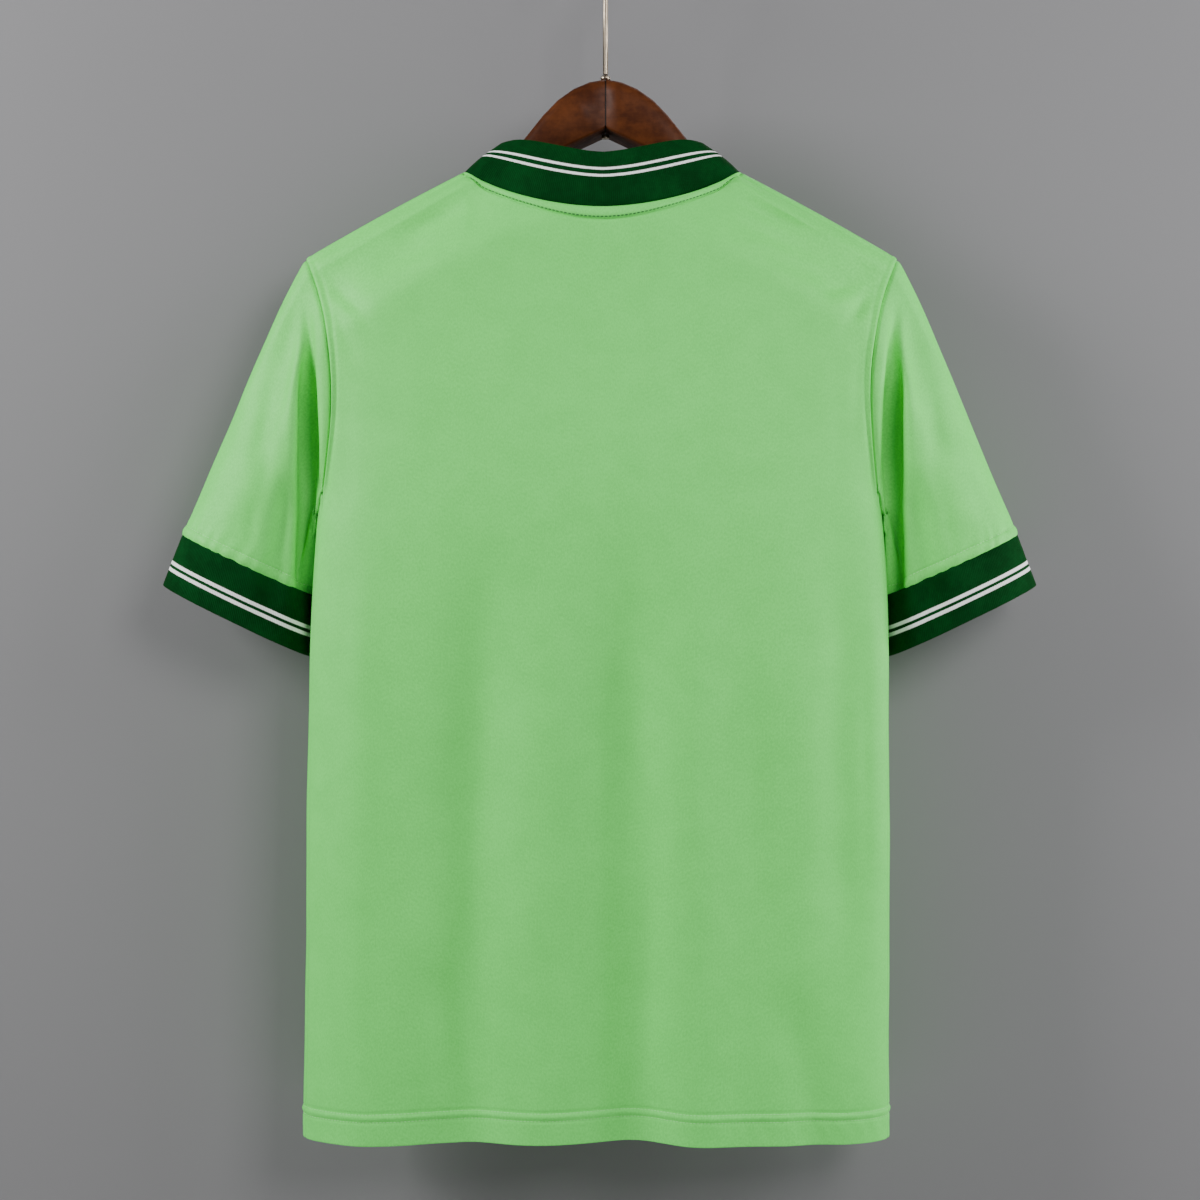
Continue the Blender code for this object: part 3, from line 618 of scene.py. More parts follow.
# %% Relief
NECK_STRIP = 0.0096
HEM_LOW_STITCH = 0.0172
HEM_HIGH_STITCH = 0.0236
CUFF_STRIP = 0.0076
WRINKLE_SIZE, WRINKLE_HEIGHT = 0.030, 0.0006
BROAD_SIZE, BROAD_HEIGHT = 0.085, 0.0022
PULL_LENGTH, PULL_SLANT, PULL_HEIGHT = 0.0135, 26, 0.00035
GATHER_LENGTH, GATHER_HEIGHT = 0.0115, 0.00045
PUFF_HEIGHT, PUFF_POWER = 0.0017, 0.8
TIP_ROLL, ROLL_GROWS = 0.2, 0.035
NECK_BLEND = 0.6
CALM_TO, UNEVEN_FROM = 0.004, 0.030
BROAD_FROM, BROAD_FULL = 0.25, 0.5
CREASE_GROWS = 0.006
CREASE_FACING, CREASE_BLEND = 0.15, 0.40
FRONT_CREASES = 0.4
GATHER_FULL, GATHER_TO = 0.002, 0.024
RIB_WAVE_SIZE, RIB_WAVE_HEIGHT = 0.03, 0.0003

# Each line of a seam is a low ridge, or a ditch where its height is negative.
SeamLine = namedtuple("SeamLine", "height middle half_width")
ARMHOLE_SEAM = (
    SeamLine(0.0015, 0.0024, 0.0013),
    SeamLine(-0.0006, 0.0058, 0.0016),
    SeamLine(-0.0010, 0.0, 0.0009),
)
SIDE_SEAM = (SeamLine(-0.0006, 0.0, 0.0012),)
NECK_DITCH = (SeamLine(-0.0016, NECK_STRIP, 0.0010),)
SHOULDER_SEAM = (SeamLine(0.0008, 0.0030, 0.0018), SeamLine(-0.0005, 0.0058, 0.0012))
PANEL_TOP = (SeamLine(-0.0006, 0.0, 0.0009),)
HEM_LINES = (
    SeamLine(0.0008, 0.5 * (HEM_LOW_STITCH + HEM_HIGH_STITCH), 0.0018),
    SeamLine(-0.0008, HEM_LOW_STITCH, 0.0008),
    SeamLine(-0.0008, HEM_HIGH_STITCH, 0.0008),
)
SLEEVE_TOP = (SeamLine(-0.0010, 0.0, 0.0018),)
SLEEVE_LOW = (
    SeamLine(0.0006, 0.5 * CUFF_STRIP, 0.0030),
    SeamLine(-0.0005, CUFF_STRIP, 0.0009),
    SeamLine(-0.0004, 0.0, 0.0012),
)
RIB_SEAM = (SeamLine(-0.0006, 0.0, 0.0011),)


def grid_normals(grid, closed):
    """Outward normals: down the rows crossed with along the columns."""
    down = np.gradient(grid, axis=0)
    if closed:
        across = np.roll(grid, -1, axis=1) - np.roll(grid, 1, axis=1)
    else:
        across = np.gradient(grid, axis=1)
    return unit(np.cross(down, across))


def distances(grid, axis):
    """How far each point lies from the first and from the last point of its line."""
    lengths = np.linalg.norm(np.diff(grid, axis=axis), axis=-1)
    pad = [(1, 0), (0, 0)] if axis == 0 else [(0, 0), (1, 0)]
    start = np.cumsum(np.pad(lengths, pad), axis=axis)
    return start, start.max(axis=axis, keepdims=True) - start


def profile(distance, lines):
    """The height of a seam's lines at a distance from its edge."""
    return sum(
        line.height * np.exp(-(((distance - line.middle) / line.half_width) ** 2)) for line in lines
    )


def smooth_array(share):
    share = np.clip(share, 0, 1)
    return share * share * (3 - 2 * share)


def fade(distance, start, stop):
    """1 below start and 0 past stop, with an even slope between."""
    return 1 - smooth_array((distance - start) / (stop - start))


def wrinkles(grid, size, seed):
    """Soft noise from -1 to 1 over a grid, a little longer down than across."""
    places = grid.reshape(-1, 3) / size * (1, 1, 0.6) + (seed, 0, 0)
    return np.array([noise.noise(Vector(place)) for place in places]).reshape(grid.shape[:2])


def panel_relief(grid, side):
    """Heights over a panel: seams, puffed neck strip, hem band, drag lines and small wrinkles."""
    from_top, from_hem = distances(grid, 0)
    from_left, from_right = distances(grid, 1)
    from_side = np.minimum(from_left, from_right)
    armhole_here = np.arange(len(grid))[:, None] <= ARMHOLE_END
    places = np.concatenate([PLACES, PLACES[-2::-1]])[None, :]
    x, z = grid[..., 0] - middle_x(grid[..., 2]), grid[..., 2]

    height = -drag_depth(BACK_DRAGS if side is BACK else FRONT_DRAGS, x, z)
    roll = mix(TIP_ROLL, 1, smooth_array(from_top / ROLL_GROWS)) * profile(from_side, ARMHOLE_SEAM)
    height += np.where(armhole_here, roll, profile(from_side, SIDE_SEAM))
    neck = smooth_array((places - SHOULDER_PLACES) / NECK_BLEND)
    puff = PUFF_HEIGHT * np.sin(pi * np.clip(from_top / NECK_STRIP, 0, 1)) ** PUFF_POWER
    height += mix(profile(from_top, SHOULDER_SEAM), puff + profile(from_top, NECK_DITCH), neck)
    height += profile(from_top, PANEL_TOP) + profile(from_hem, HEM_LINES)

    slant = from_left / PULL_LENGTH + PULL_SLANT * from_hem + 0.5 * wrinkles(grid, 0.02, 3.0)
    band = np.sin(pi * np.clip(from_hem / HEM_HIGH_STITCH, 0, 1))
    pull = 0.6 + 0.4 * wrinkles(grid, 0.05, 8.0)
    height += PULL_HEIGHT * band * np.sin(2 * pi * slant) * pull
    uneven = 1 - fade(from_top, CALM_TO, UNEVEN_FROM)
    low = fade(-from_top, -BROAD_FULL, -BROAD_FROM)
    broad = BROAD_HEIGHT * low * wrinkles(grid, BROAD_SIZE, 5.0)
    return height + uneven * (WRINKLE_HEIGHT * wrinkles(grid, WRINKLE_SIZE, 1.5) + broad)


def sleeve_relief(grid, hand):
    """Heights over a sleeve: the ditch at the armhole, the gathers at the cuff, drag lines."""
    from_top, from_cuff = distances(grid, 0)
    around_it = distances(grid, 1)[0]
    x, z = hand * (grid[..., 0] - middle_x(grid[..., 2])), grid[..., 2]
    out = grid_normals(grid, True)[..., 1]
    facing = smooth_array((np.abs(out) - CREASE_FACING) / CREASE_BLEND)
    facing = facing * np.where(out < 0, 1.0, FRONT_CREASES)
    height = -drag_depth(SLEEVE_DRAGS, x, z) * facing * smooth_array(from_top / CREASE_GROWS)
    height += profile(from_top, SLEEVE_TOP) + profile(from_cuff, SLEEVE_LOW)
    gather = np.sin(2 * pi * around_it / GATHER_LENGTH + 3.0 * wrinkles(grid, 0.02, 2.0))
    height += GATHER_HEIGHT * fade(from_cuff, GATHER_FULL, GATHER_TO) * gather
    return height + WRINKLE_HEIGHT * wrinkles(grid, WRINKLE_SIZE, 4.5 + hand)


def rib_relief(grid, seam_at_top):
    """Heights over a rib band: a ditch at its seam and a very low wave along it."""
    seam = distances(grid, 0)[0 if seam_at_top else 1]
    return RIB_WAVE_HEIGHT * wrinkles(grid, RIB_WAVE_SIZE, 7.0) + profile(seam, RIB_SEAM)


print("hem stitches", round(1000 * (HEM_HIGH_STITCH - HEM_LOW_STITCH), 1), "mm apart")

# %% [markdown]
# ## Walls from grids
# A sheet of cloth has two faces and a rounded edge. The wall's outer face is the
# grid, its inner face the grid moved in, and a half circle of points joins them
# at each end of the columns. Every point carries a map position in real metres,
# so that knit and rib keep their true size, and a second one that counts from 0
# to 1 down the piece for stripes.

# %% Walls
RIM_STEPS = 4


def rim(edge, normals, outward, thickness):
    """Rings that turn round a free edge, from the outer face to the inner one."""
    middle = edge - normals * thickness / 2
    rings = []
    for step in range(1, RIM_STEPS):
        angle = pi * step / RIM_STEPS
        rings.append(middle + thickness / 2 * (normals * cos(angle) + outward * sin(angle)))
    return rings


def wall(name, grid, closed, thickness):
    """A thin closed wall with rounded edges, as an object with two UV maps."""
    normals = grid_normals(grid, closed)
    inner = grid - normals * thickness
    low = rim(grid[-1], normals[-1], unit(grid[-1] - grid[-2]), thickness)
    top = rim(grid[0], normals[0], unit(grid[0] - grid[1]), thickness)
    rings = list(grid) + low + list(inner[::-1]) + top[::-1]
    rows, columns = grid.shape[:2]
    ring_rows = list(range(rows)) + [rows - 1] * len(low) + list(range(rows))[::-1] + [0] * len(top)
    count, spans = len(rings), columns if closed else columns - 1

    ring, place = np.meshgrid(np.arange(count), np.arange(spans), indexing="ij")
    ring, place = ring.ravel(), place.ravel()
    corners = ((ring, place), (ring + 1, place), (ring + 1, place + 1), (ring, place + 1))
    faces = np.stack([(r % count) * columns + c % columns for r, c in corners], axis=1)
    map_ids = np.stack([(r % count) * (columns + 1) + c for r, c in corners], axis=1)
    face_list, map_list = faces.tolist(), map_ids.ravel().tolist()
    if not closed:
        for column, turned in ((0, False), (columns - 1, True)):
            for row in range(rows - 1):
                far = 2 * rows + len(low) - 1 - row
                side = [row, far, far - 1, row + 1]
                side = side[::-1] if turned else side
                face_list.append([r * columns + column for r in side])
                map_list += [r * (columns + 1) + column for r in side]
            low_cap = list(range(rows - 1, rows + len(low) + 1))
            top_cap = list(range(count - len(top) - 1, count)) + [0]
            for cap in (low_cap, top_cap):
                cap = cap[::-1] if not turned else cap
                face_list.append([r * columns + column for r in cap])
                map_list += [r * (columns + 1) + column for r in cap]

    mesh = bpy.data.meshes.new(name)
    mesh.from_pydata(np.concatenate(rings).tolist(), [], face_list)
    ends = np.concatenate([grid, grid[:, :1] if closed else grid[:, -1:]], axis=1)
    down, across = distances(ends, 0)[0], distances(ends, 1)[0]
    across = np.broadcast_to(across.mean(axis=0), across.shape)
    share = down / down.max(axis=0)
    for map_name, u, v in (("cloth", across, -down), ("band", across, share)):
        flat = np.stack([u, v], axis=-1)[ring_rows].reshape(-1, 2)
        layer = mesh.uv_layers.new(name=map_name)
        layer.data.foreach_set("uv", flat[map_list].astype(np.float32).ravel())
    mesh.shade_smooth()
    return new_object(name, mesh)


def raised(grid, closed, height):
    return grid + grid_normals(grid, closed) * height[..., None]


KNIT_WALL = 0.0009
RIB_WALL = 0.0019
back_grid = raised(back_base, False, panel_relief(back_base, BACK))
front_grid = raised(front_base, False, panel_relief(front_base, FRONT))
tube_grids, band_grids = {}, {}
for hand, tube, band in ((-1, tube_left, band_left), (1, tube_right, band_right)):
    tube_grids[hand] = raised(tube, True, sleeve_relief(tube, hand))
    band_grids[hand] = raised(band, True, rib_relief(band, True))
collar_grid = raised(collar_base, True, rib_relief(collar_base, False))

cloth = {
    "back_panel": wall("jersey_back", back_grid, False, KNIT_WALL),
    "front_panel": wall("jersey_front", front_grid, False, KNIT_WALL),
    "sleeve_left": wall("left_sleeve", tube_grids[-1], True, KNIT_WALL),
    "sleeve_right": wall("right_sleeve", tube_grids[1], True, KNIT_WALL),
    "cuff_left": wall("left_cuff", band_grids[-1], True, RIB_WALL),
    "cuff_right": wall("right_cuff", band_grids[1], True, RIB_WALL),
    "collar": wall("collar_rib", collar_grid, True, RIB_WALL),
}
for node, piece in cloth.items():
    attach(piece, "root")
    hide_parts(node)
    print(piece.name, len(piece.data.polygons), "faces")

# %% [markdown]
# ## Sheets of cloth
# A cut of cloth is a record of its width, its length, its flat area, how it is
# held and what it rests on. For a tube the width is all round, and for a panel,
# whose cut isn't a rectangle, the area is the rectangle less the armholes, the
# shoulder slope and the neck. The record is only defined here; no piece is given one.

Cut = namedtuple("Cut", "width length area held rests_on")

# %% [markdown]
# ## Node groups shared by the finishes
# A knit is rows of small loops. Seen from a step away it is a faint grain, and
# close up it is fine upright wales crossed by courses. One group makes it from
# the cloth's own map, in metres, and puts out a height and a mask. The second
# group, mottle, breaks up any plain colour or gloss with two sizes of noise.

# %% Node helpers
def new_group(name, inputs, outputs):
    """A shader node group with float or vector inputs and float outputs."""
    group = bpy.data.node_groups.new(name, "ShaderNodeTree")
    for socket_name, kind, default in inputs:
        socket = group.interface.new_socket(socket_name, in_out="INPUT", socket_type=kind)
        if default is not None:
            socket.default_value = default
    for socket_name in outputs:
        group.interface.new_socket(socket_name, in_out="OUTPUT", socket_type="NodeSocketFloat")
    return group, group.nodes.new("NodeGroupInput"), group.nodes.new("NodeGroupOutput")


def give(tree, node, values):
    """Gives a node's inputs their values: a socket is linked, a number or colour is set."""
    for place, value in values.items():
        if isinstance(value, bpy.types.NodeSocket):
            tree.links.new(value, node.inputs[place])
        elif value is not None:
            node.inputs[place].default_value = value


def added(tree, kind, values=None, **settings):
    """A new node with its settings, and with its inputs given their values."""
    node = tree.nodes.new("ShaderNode" + kind)
    for name, setting in settings.items():
        setattr(node, name, setting)
    give(tree, node, values or {})
    return node


def math_node(tree, operation, first, second=0.5, third=None):
    """A Math node; each value is a socket to link or a number."""
    values = dict(enumerate((first, second, third)))
    return added(tree, "Math", values, operation=operation).outputs[0]


def noise_node(tree, vector, scale, detail=2.0, roughness=0.5):
    values = {"Vector": vector, "Scale": scale, "Detail": detail, "Roughness": roughness}
    return added(tree, "TexNoise", values).outputs["Fac"]


def stretched(tree, vector, scale, turn=(0.0, 0.0, 0.0)):
    values = {"Vector": vector, "Rotation": turn, "Scale": scale}
    return added(tree, "Mapping", values).outputs["Vector"]


def split(tree, vector):
    """The X, Y and Z of a vector."""
    return added(tree, "SeparateXYZ", {0: vector}).outputs


def spread(tree, value, low, high, to_low=0.0, to_high=1.0):
    """Maps a value from one range to another, with soft ends."""
    values = {"From Min": low, "From Max": high, "To Min": to_low, "To Max": to_high}
    values["Value"] = value
    return added(tree, "MapRange", values, interpolation_type="SMOOTHSTEP").outputs["Result"]


VECTOR, FLOAT = "NodeSocketVector", "NodeSocketFloat"


def knit_group():
    """Wales and courses of a fine knit on a map in metres, with an uneven grain."""
    inputs = [("Map", VECTOR, None), ("Wale", FLOAT, 0.0008), ("Course", FLOAT, 0.0006)]
    group, given, out = new_group("knit", inputs, ["Height", "Grain"])
    parts = split(group, given.outputs["Map"])
    across = math_node(group, "DIVIDE", parts["X"], given.outputs["Wale"])
    down = math_node(group, "DIVIDE", parts["Y"], given.outputs["Course"])
    wave = math_node(group, "SINE", math_node(group, "MULTIPLY", across, pi))
    wale = math_node(group, "ABSOLUTE", wave)
    course = math_node(group, "SINE", math_node(group, "MULTIPLY", down, 2 * pi))
    loops = math_node(group, "MULTIPLY_ADD", course, 0.25, wale)
    fine_map = stretched(group, given.outputs["Map"], (900.0, 500.0, 1.0))
    grain = noise_node(group, fine_map, 1.0, 3.0, 0.6)
    height = math_node(group, "MULTIPLY_ADD", grain, 0.8, loops)
    give(group, out, {"Height": height, "Grain": grain})
    return group


def mottle_group():
    """Two sizes of noise in one value round 0.5, for colour and gloss that aren't quite even."""
    inputs = [("Place", VECTOR, None), ("Size", FLOAT, 0.05), ("Fine", FLOAT, 0.5)]
    group, given, out = new_group("mottle", inputs, ["Value"])
    sizes = added(group, "CombineXYZ", dict.fromkeys("XYZ", given.outputs["Size"]))
    values = {0: given.outputs["Place"], 1: sizes.outputs[0]}
    scaled = added(group, "VectorMath", values, operation="DIVIDE").outputs["Vector"]
    broad = noise_node(group, scaled, 1.0, 2.0)
    fine = noise_node(group, scaled, 6.0, 3.0, 0.6)
    swing = math_node(group, "SUBTRACT", fine, 0.5)
    mixed = math_node(group, "MULTIPLY", swing, given.outputs["Fine"])
    give(group, out, {"Value": math_node(group, "ADD", broad, mixed)})
    return group


KNIT, MOTTLE = knit_group(), mottle_group()
print("groups:", KNIT.name, MOTTLE.name)

# %% [markdown]
# ## Finishes of the cloth
# Satin polyester is light green with a soft, broad sheen, and its folds turn a
# deeper, more saturated green. The rib is a matte dark green with fine upright
# ribs, and two white stripes are knitted into it, so they are colour alone and
# follow the band's own map. The rib's grooves carry painted shade: the green
# and the white are made darker there.

# %% Cloth materials
def new_material(name):
    material = bpy.data.materials.new(name)
    material.use_nodes = True
    tree = material.node_tree
    return material, tree, tree.nodes["Principled BSDF"]


def placed(tree, group, **values):
    """A group node with its inputs linked or set."""
    return added(tree, "Group", values, node_tree=group)


def map_output(tree, name):
    return added(tree, "UVMap", uv_map=name).outputs["UV"]


def object_place(tree):
    return added(tree, "TexCoord").outputs["Object"]


def blend_colours(tree, factor, first, second):
    """A mix of two colours; each is a socket or (r, g, b)."""
    values = {"Factor": factor}
    for place, colour in (("A", first), ("B", second)):
        values[place] = (*colour, 1.0) if isinstance(colour, tuple) else colour
    return added(tree, "Mix", values, data_type="RGBA").outputs["Result"]


def bumped(tree, shader, height, strength, distance):
    values = {"Strength": strength, "Distance": distance, "Height": height}
    give(tree, shader, {"Normal": added(tree, "Bump", values).outputs["Normal"]})


GREEN_LIT = (0.145, 0.780, 0.132)
GREEN_DEEP = (0.108, 0.640, 0.100)
RIB_GREEN = (0.0004, 0.045, 0.0062)
# RIB_DEEP is the dark end of a random tone that also paints shade into the rib's grooves.
RIB_DEEP = (0.0002, 0.027, 0.0036)
STRIPE_WHITE = (0.96, 0.97, 0.96)
# STRIPE_SHADE is painted shade in the grooves between the ribs of the white stripes.
STRIPE_SHADE = (0.86, 0.88, 0.86)


def satin_knit():
    material, tree, shader = new_material("satin_knit")
    knit = placed(tree, KNIT, Map=map_output(tree, "cloth"), Wale=0.0008, Course=0.0006)
    mottle = placed(tree, MOTTLE, Place=object_place(tree), Size=0.020, Fine=0.8)
    tone = math_node(tree, "MULTIPLY_ADD", mottle.outputs["Value"], 0.35, knit.outputs["Grain"])
    give(tree, shader, {
        "Base Color": blend_colours(tree, spread(tree, tone, 0.35, 1.0), GREEN_DEEP, GREEN_LIT),
        "Roughness": spread(tree, tone, 0.35, 1.0, 0.60, 0.50),
        "Specular IOR Level": 0.22,
        "Sheen Weight": 0.03,
        "Sheen Roughness": 0.35,
        "Sheen Tint": (0.75, 1.0, 0.72, 1.0),
    })
    bumped(tree, shader, knit.outputs["Height"], 0.20, 0.0002)
    return material


def rib_knit(name, stripes):
    """Rib with two white stripes, each given by where it starts and stops down the band."""
    material, tree, shader = new_material(name)
    cloth_map = map_output(tree, "cloth")
    across = math_node(tree, "MULTIPLY", split(tree, cloth_map)["X"], 2 * pi / RIB_PITCH)
    ribs = math_node(tree, "SINE", across)
    knit = placed(tree, KNIT, Map=cloth_map, Wale=RIB_PITCH, Course=0.0008)
    mottle = placed(tree, MOTTLE, Place=object_place(tree), Size=0.03, Fine=0.6)
    # The tone is random mottle plus painted shade: the rib's grooves are made a darker green.
    tone = math_node(tree, "MULTIPLY_ADD", ribs, 0.12, mottle.outputs["Value"])
    green = blend_colours(tree, spread(tree, tone, 0.25, 0.75), RIB_DEEP, RIB_GREEN)
    down = split(tree, map_output(tree, "band"))["Y"]
    wobble = math_node(tree, "MULTIPLY_ADD", knit.outputs["Grain"], 0.012, down)
    masks = []
    for start, stop in stripes:
        rise = spread(tree, wobble, start, start + STRIPE_EDGE)
        fall = spread(tree, wobble, stop - STRIPE_EDGE, stop, 1.0, 0.0)
        masks.append(math_node(tree, "MULTIPLY", rise, fall))
    mask = math_node(tree, "MAXIMUM", masks[0], masks[1])
    # The white of the stripes carries painted shade in the rib's grooves.
    white = blend_colours(tree, spread(tree, ribs, -1.0, 1.0), STRIPE_SHADE, STRIPE_WHITE)
    give(tree, shader, {
        "Base Color": blend_colours(tree, mask, green, white),
        "Roughness": spread(tree, tone, 0.2, 0.8, 0.88, 0.74),
        "Specular IOR Level": 0.05,
        "Sheen Weight": 0.01,
        "Sheen Roughness": 0.5,
        "Sheen Tint": (0.3, 0.9, 0.4, 1.0),
    })
    height = math_node(tree, "MULTIPLY_ADD", ribs, 0.8, knit.outputs["Height"])
    bumped(tree, shader, height, 0.45, 0.00035)
    return material


RIB_PITCH = 0.0014
STRIPE_EDGE = 0.014
COLLAR_STRIPES = ((0.292, 0.352), (0.421, 0.481))
CUFF_STRIPES = ((0.516, 0.594), (0.638, 0.716))
jersey_finish = satin_knit()
collar_finish = rib_knit("collar_rib_knit", COLLAR_STRIPES)
cuff_finish = rib_knit("cuff_rib_knit", CUFF_STRIPES)
for node, piece in cloth.items():
    rib = node.startswith(("cuff", "collar"))
    finish = (collar_finish if node == "collar" else cuff_finish) if rib else jersey_finish
    piece.data.materials.append(finish)
print("cloth finishes:", jersey_finish.name, collar_finish.name, cuff_finish.name)

# %% [markdown]
# ## Hanger and hook
# The hanger is two pieces of varnished wood, mitred in the middle. Their solids
# have the right shape but flat facets, so each is copied, its doubled points are
# merged and its triangles are paired into quads. Shading then runs smoothly over
# all but the sharp edges. The two halves are drawn together at the mitre.

# %% Smoothed copies
SHARP_EDGE = radians(50)
QUAD_BEND, QUAD_SKEW = radians(25), radians(80)
MITRE_REACH = 0.0003
MITRE_GAP = 0.00003


def only(obj):
    """Leaves one object selected and active."""
    bpy.ops.object.select_all(action="DESELECT")
    obj.select_set(True)
    bpy.context.view_layer.objects.active = obj


def smoothed_copy(node, name):
    """A copy of a solid, merged, in quads and smoothly shaded."""
    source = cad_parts[node]
    obj = new_object(name, source.data.copy())
    obj.matrix_world = source.matrix_world
    only(obj)
    bpy.ops.object.transform_apply(location=True, rotation=True, scale=True)
    obj.data.materials.clear()
    bpy.ops.object.mode_set(mode="EDIT")
    bpy.ops.mesh.select_all(action="SELECT")
    bpy.ops.mesh.remove_doubles(threshold=1e-5)
    bpy.ops.mesh.tris_convert_to_quads(face_threshold=QUAD_BEND, shape_threshold=QUAD_SKEW)
    bpy.ops.object.mode_set(mode="OBJECT")
    bpy.ops.object.shade_smooth_by_angle(angle=SHARP_EDGE)
    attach(obj, "root")
    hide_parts(node)
    return obj


def close_mitre(arm):
    """Moves the arm's flat end up to the middle, so that no light passes between the halves."""
    only(arm)
    ends = [abs(point.co.x) for point in arm.data.vertices]
    gap = min(ends)
    hand = 1 if arm.data.vertices[0].co.x > 0 else -1
    bpy.ops.object.mode_set(mode="EDIT")
    bpy.ops.mesh.select_mode(type="VERT")
    bpy.ops.mesh.select_all(action="DESELECT")
    bpy.ops.object.mode_set(mode="OBJECT")
    for point, off in zip(arm.data.vertices, ends):
        point.select = off < gap + MITRE_REACH
    bpy.ops.object.mode_set(mode="EDIT")
    bpy.ops.transform.translate(value=((MITRE_GAP - gap) * hand, 0, 0))
    bpy.ops.object.mode_set(mode="OBJECT")
    return round(1000 * gap, 2)


arms = [
    smoothed_copy("hanger_arm_left", "left_hanger_arm"),
    smoothed_copy("hanger_arm_right", "right_hanger_arm"),
]
print("mitre closed by", [close_mitre(arm) for arm in arms], "mm")
wire = smoothed_copy("hook", "hook_wire")
ball = smoothed_copy("hook_ferrule", "ferrule_ball")
for piece in (*arms, wire, ball):
    print(piece.name, len(piece.data.polygons), "faces")

# %% [markdown]
# ## Finishes of the hanger and the hook
# The wood is a reddish dark brown under satin varnish, with slanted grain and
# soft darker patches. Grain is noise drawn out along the arm, so its map is
# stretched on the arm's long side. A thin line of painted shade runs down the
# mitre, for the groove between the halves. The hook is nickel with a warm cast.

# %% Wood and metal
WOOD_LIGHT = (0.098, 0.028, 0.0078)
WOOD_DARK = (0.040, 0.010, 0.0030)
# Painted shade along the mitre, standing in for the groove between the two halves.
PAINTED_MITRE_SHADE = (0.006, 0.002, 0.001)
MITRE_SHADE_WIDTH = 0.0009
METAL_LIGHT = (0.46, 0.39, 0.30)
METAL_DARK = (0.26, 0.21, 0.16)


def varnished_wood():
    material, tree, shader = new_material("varnished_wood")
    place = object_place(tree)
    along = stretched(tree, place, (14.0, 60.0, 95.0), (0.0, radians(-12), 0.0))
    grain = noise_node(tree, along, 1.6, 5.0, 0.62)
    patches = placed(tree, MOTTLE, Place=place, Size=0.028, Fine=0.5)
    tone = math_node(tree, "MULTIPLY_ADD", grain, 0.55, patches.outputs["Value"])
    colour = blend_colours(tree, spread(tree, tone, 0.50, 1.10), WOOD_DARK, WOOD_LIGHT)
    # Painted shade: the wood is darkened in a thin line along the mitre.
    off_mitre = math_node(tree, "ABSOLUTE", split(tree, place)["X"], None)
    mitre_shade_mask = spread(tree, off_mitre, 0.0002, MITRE_SHADE_WIDTH, 1.0, 0.0)
    give(tree, shader, {
        "Base Color": blend_colours(tree, mitre_shade_mask, colour, PAINTED_MITRE_SHADE),
        "Roughness": spread(tree, tone, 0.5, 1.1, 0.58, 0.46),
        "Specular IOR Level": 0.10,
        "Coat Weight": 0.02,
        "Coat Roughness": 0.25,
    })
    bumped(tree, shader, grain, 0.12, 0.0004)
    return material


def nickel():
    material, tree, shader = new_material("warm_nickel")
    place = object_place(tree)
    mottle = placed(tree, MOTTLE, Place=place, Size=0.006, Fine=0.6)
    value = mottle.outputs["Value"]
    give(tree, shader, {
        "Base Color": blend_colours(tree, value, METAL_DARK, METAL_LIGHT),
        "Roughness": spread(tree, value, 0.3, 0.7, 0.42, 0.30),
        "Metallic": 1.0,
    })
    scratches = noise_node(tree, stretched(tree, place, (900.0, 900.0, 250.0)), 1.0)
    bumped(tree, shader, scratches, 0.06, 0.0001)
    return material


wood_finish, metal_finish = varnished_wood(), nickel()
for piece in arms:
    piece.data.materials.append(wood_finish)
for piece in (wire, ball):
    piece.data.materials.append(metal_finish)
print("hanger finishes:", wood_finish.name, metal_finish.name)

# %% [markdown]
# ## The nut under the mitre
# The hook's stem passes down through the wood and ends in a small nut under the
# mitre, where it shows as a tiny point of light. It is a short cylinder whose
# edges are bevelled, as on a turned nut.

# %% Hook nut
NUT_RADIUS = 0.0030
NUT_HEIGHT = 0.0030
NUT_Z = -0.1592
NUT_BEVEL = 0.0006
NUT_SHARP_EDGE = radians(40)


def hook_nut():
    bpy.ops.object.select_all(action="DESELECT")
    bpy.ops.mesh.primitive_cylinder_add(
        vertices=24, radius=NUT_RADIUS, depth=NUT_HEIGHT, location=(0, 0, NUT_Z)
    )
    nut = bpy.context.active_object
    nut.name = nut.data.name = "hook_nut"
    bpy.ops.object.mode_set(mode="EDIT")
    bpy.ops.mesh.select_all(action="SELECT")
    bpy.ops.mesh.bevel(offset=NUT_BEVEL, segments=2, affect="EDGES")
    bpy.ops.object.mode_set(mode="OBJECT")
    bpy.ops.object.transform_apply(location=True, rotation=True, scale=True)
    bpy.ops.object.shade_smooth_by_angle(angle=NUT_SHARP_EDGE)
    nut.data.materials.append(metal_finish)
    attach(nut, "root")
    return nut


print(hook_nut().name, "under the mitre")

# %% [markdown]
# ## Stitches
# The hem is held by two parallel rows, the strip under the collar by one, and
# the sleeve above the cuff by one. One stitch is modelled, a short bead drawn
# long and flat, and its points are copied along a line that lies on the cloth
# at a given distance from an edge. Copies share one mesh per row.

# %% Stitches
Thread = namedtuple("Thread", "pitch length width")
HEM_THREAD = Thread(0.0026, 0.0020, 0.00055)
NECK_THREAD = Thread(0.0030, 0.0025, 0.00110)
CUFF_THREAD = Thread(0.0028, 0.0021, 0.00055)
THREAD_FLATNESS = 0.7
THREAD_LIFT = 0.0001
LOOK_ALONG = 0.0005
# The row of the grid beside each line of stitches, for the way its cloth faces.
HEM_ROW, NECK_ROW, CUFF_ROW = -10, 5, -8


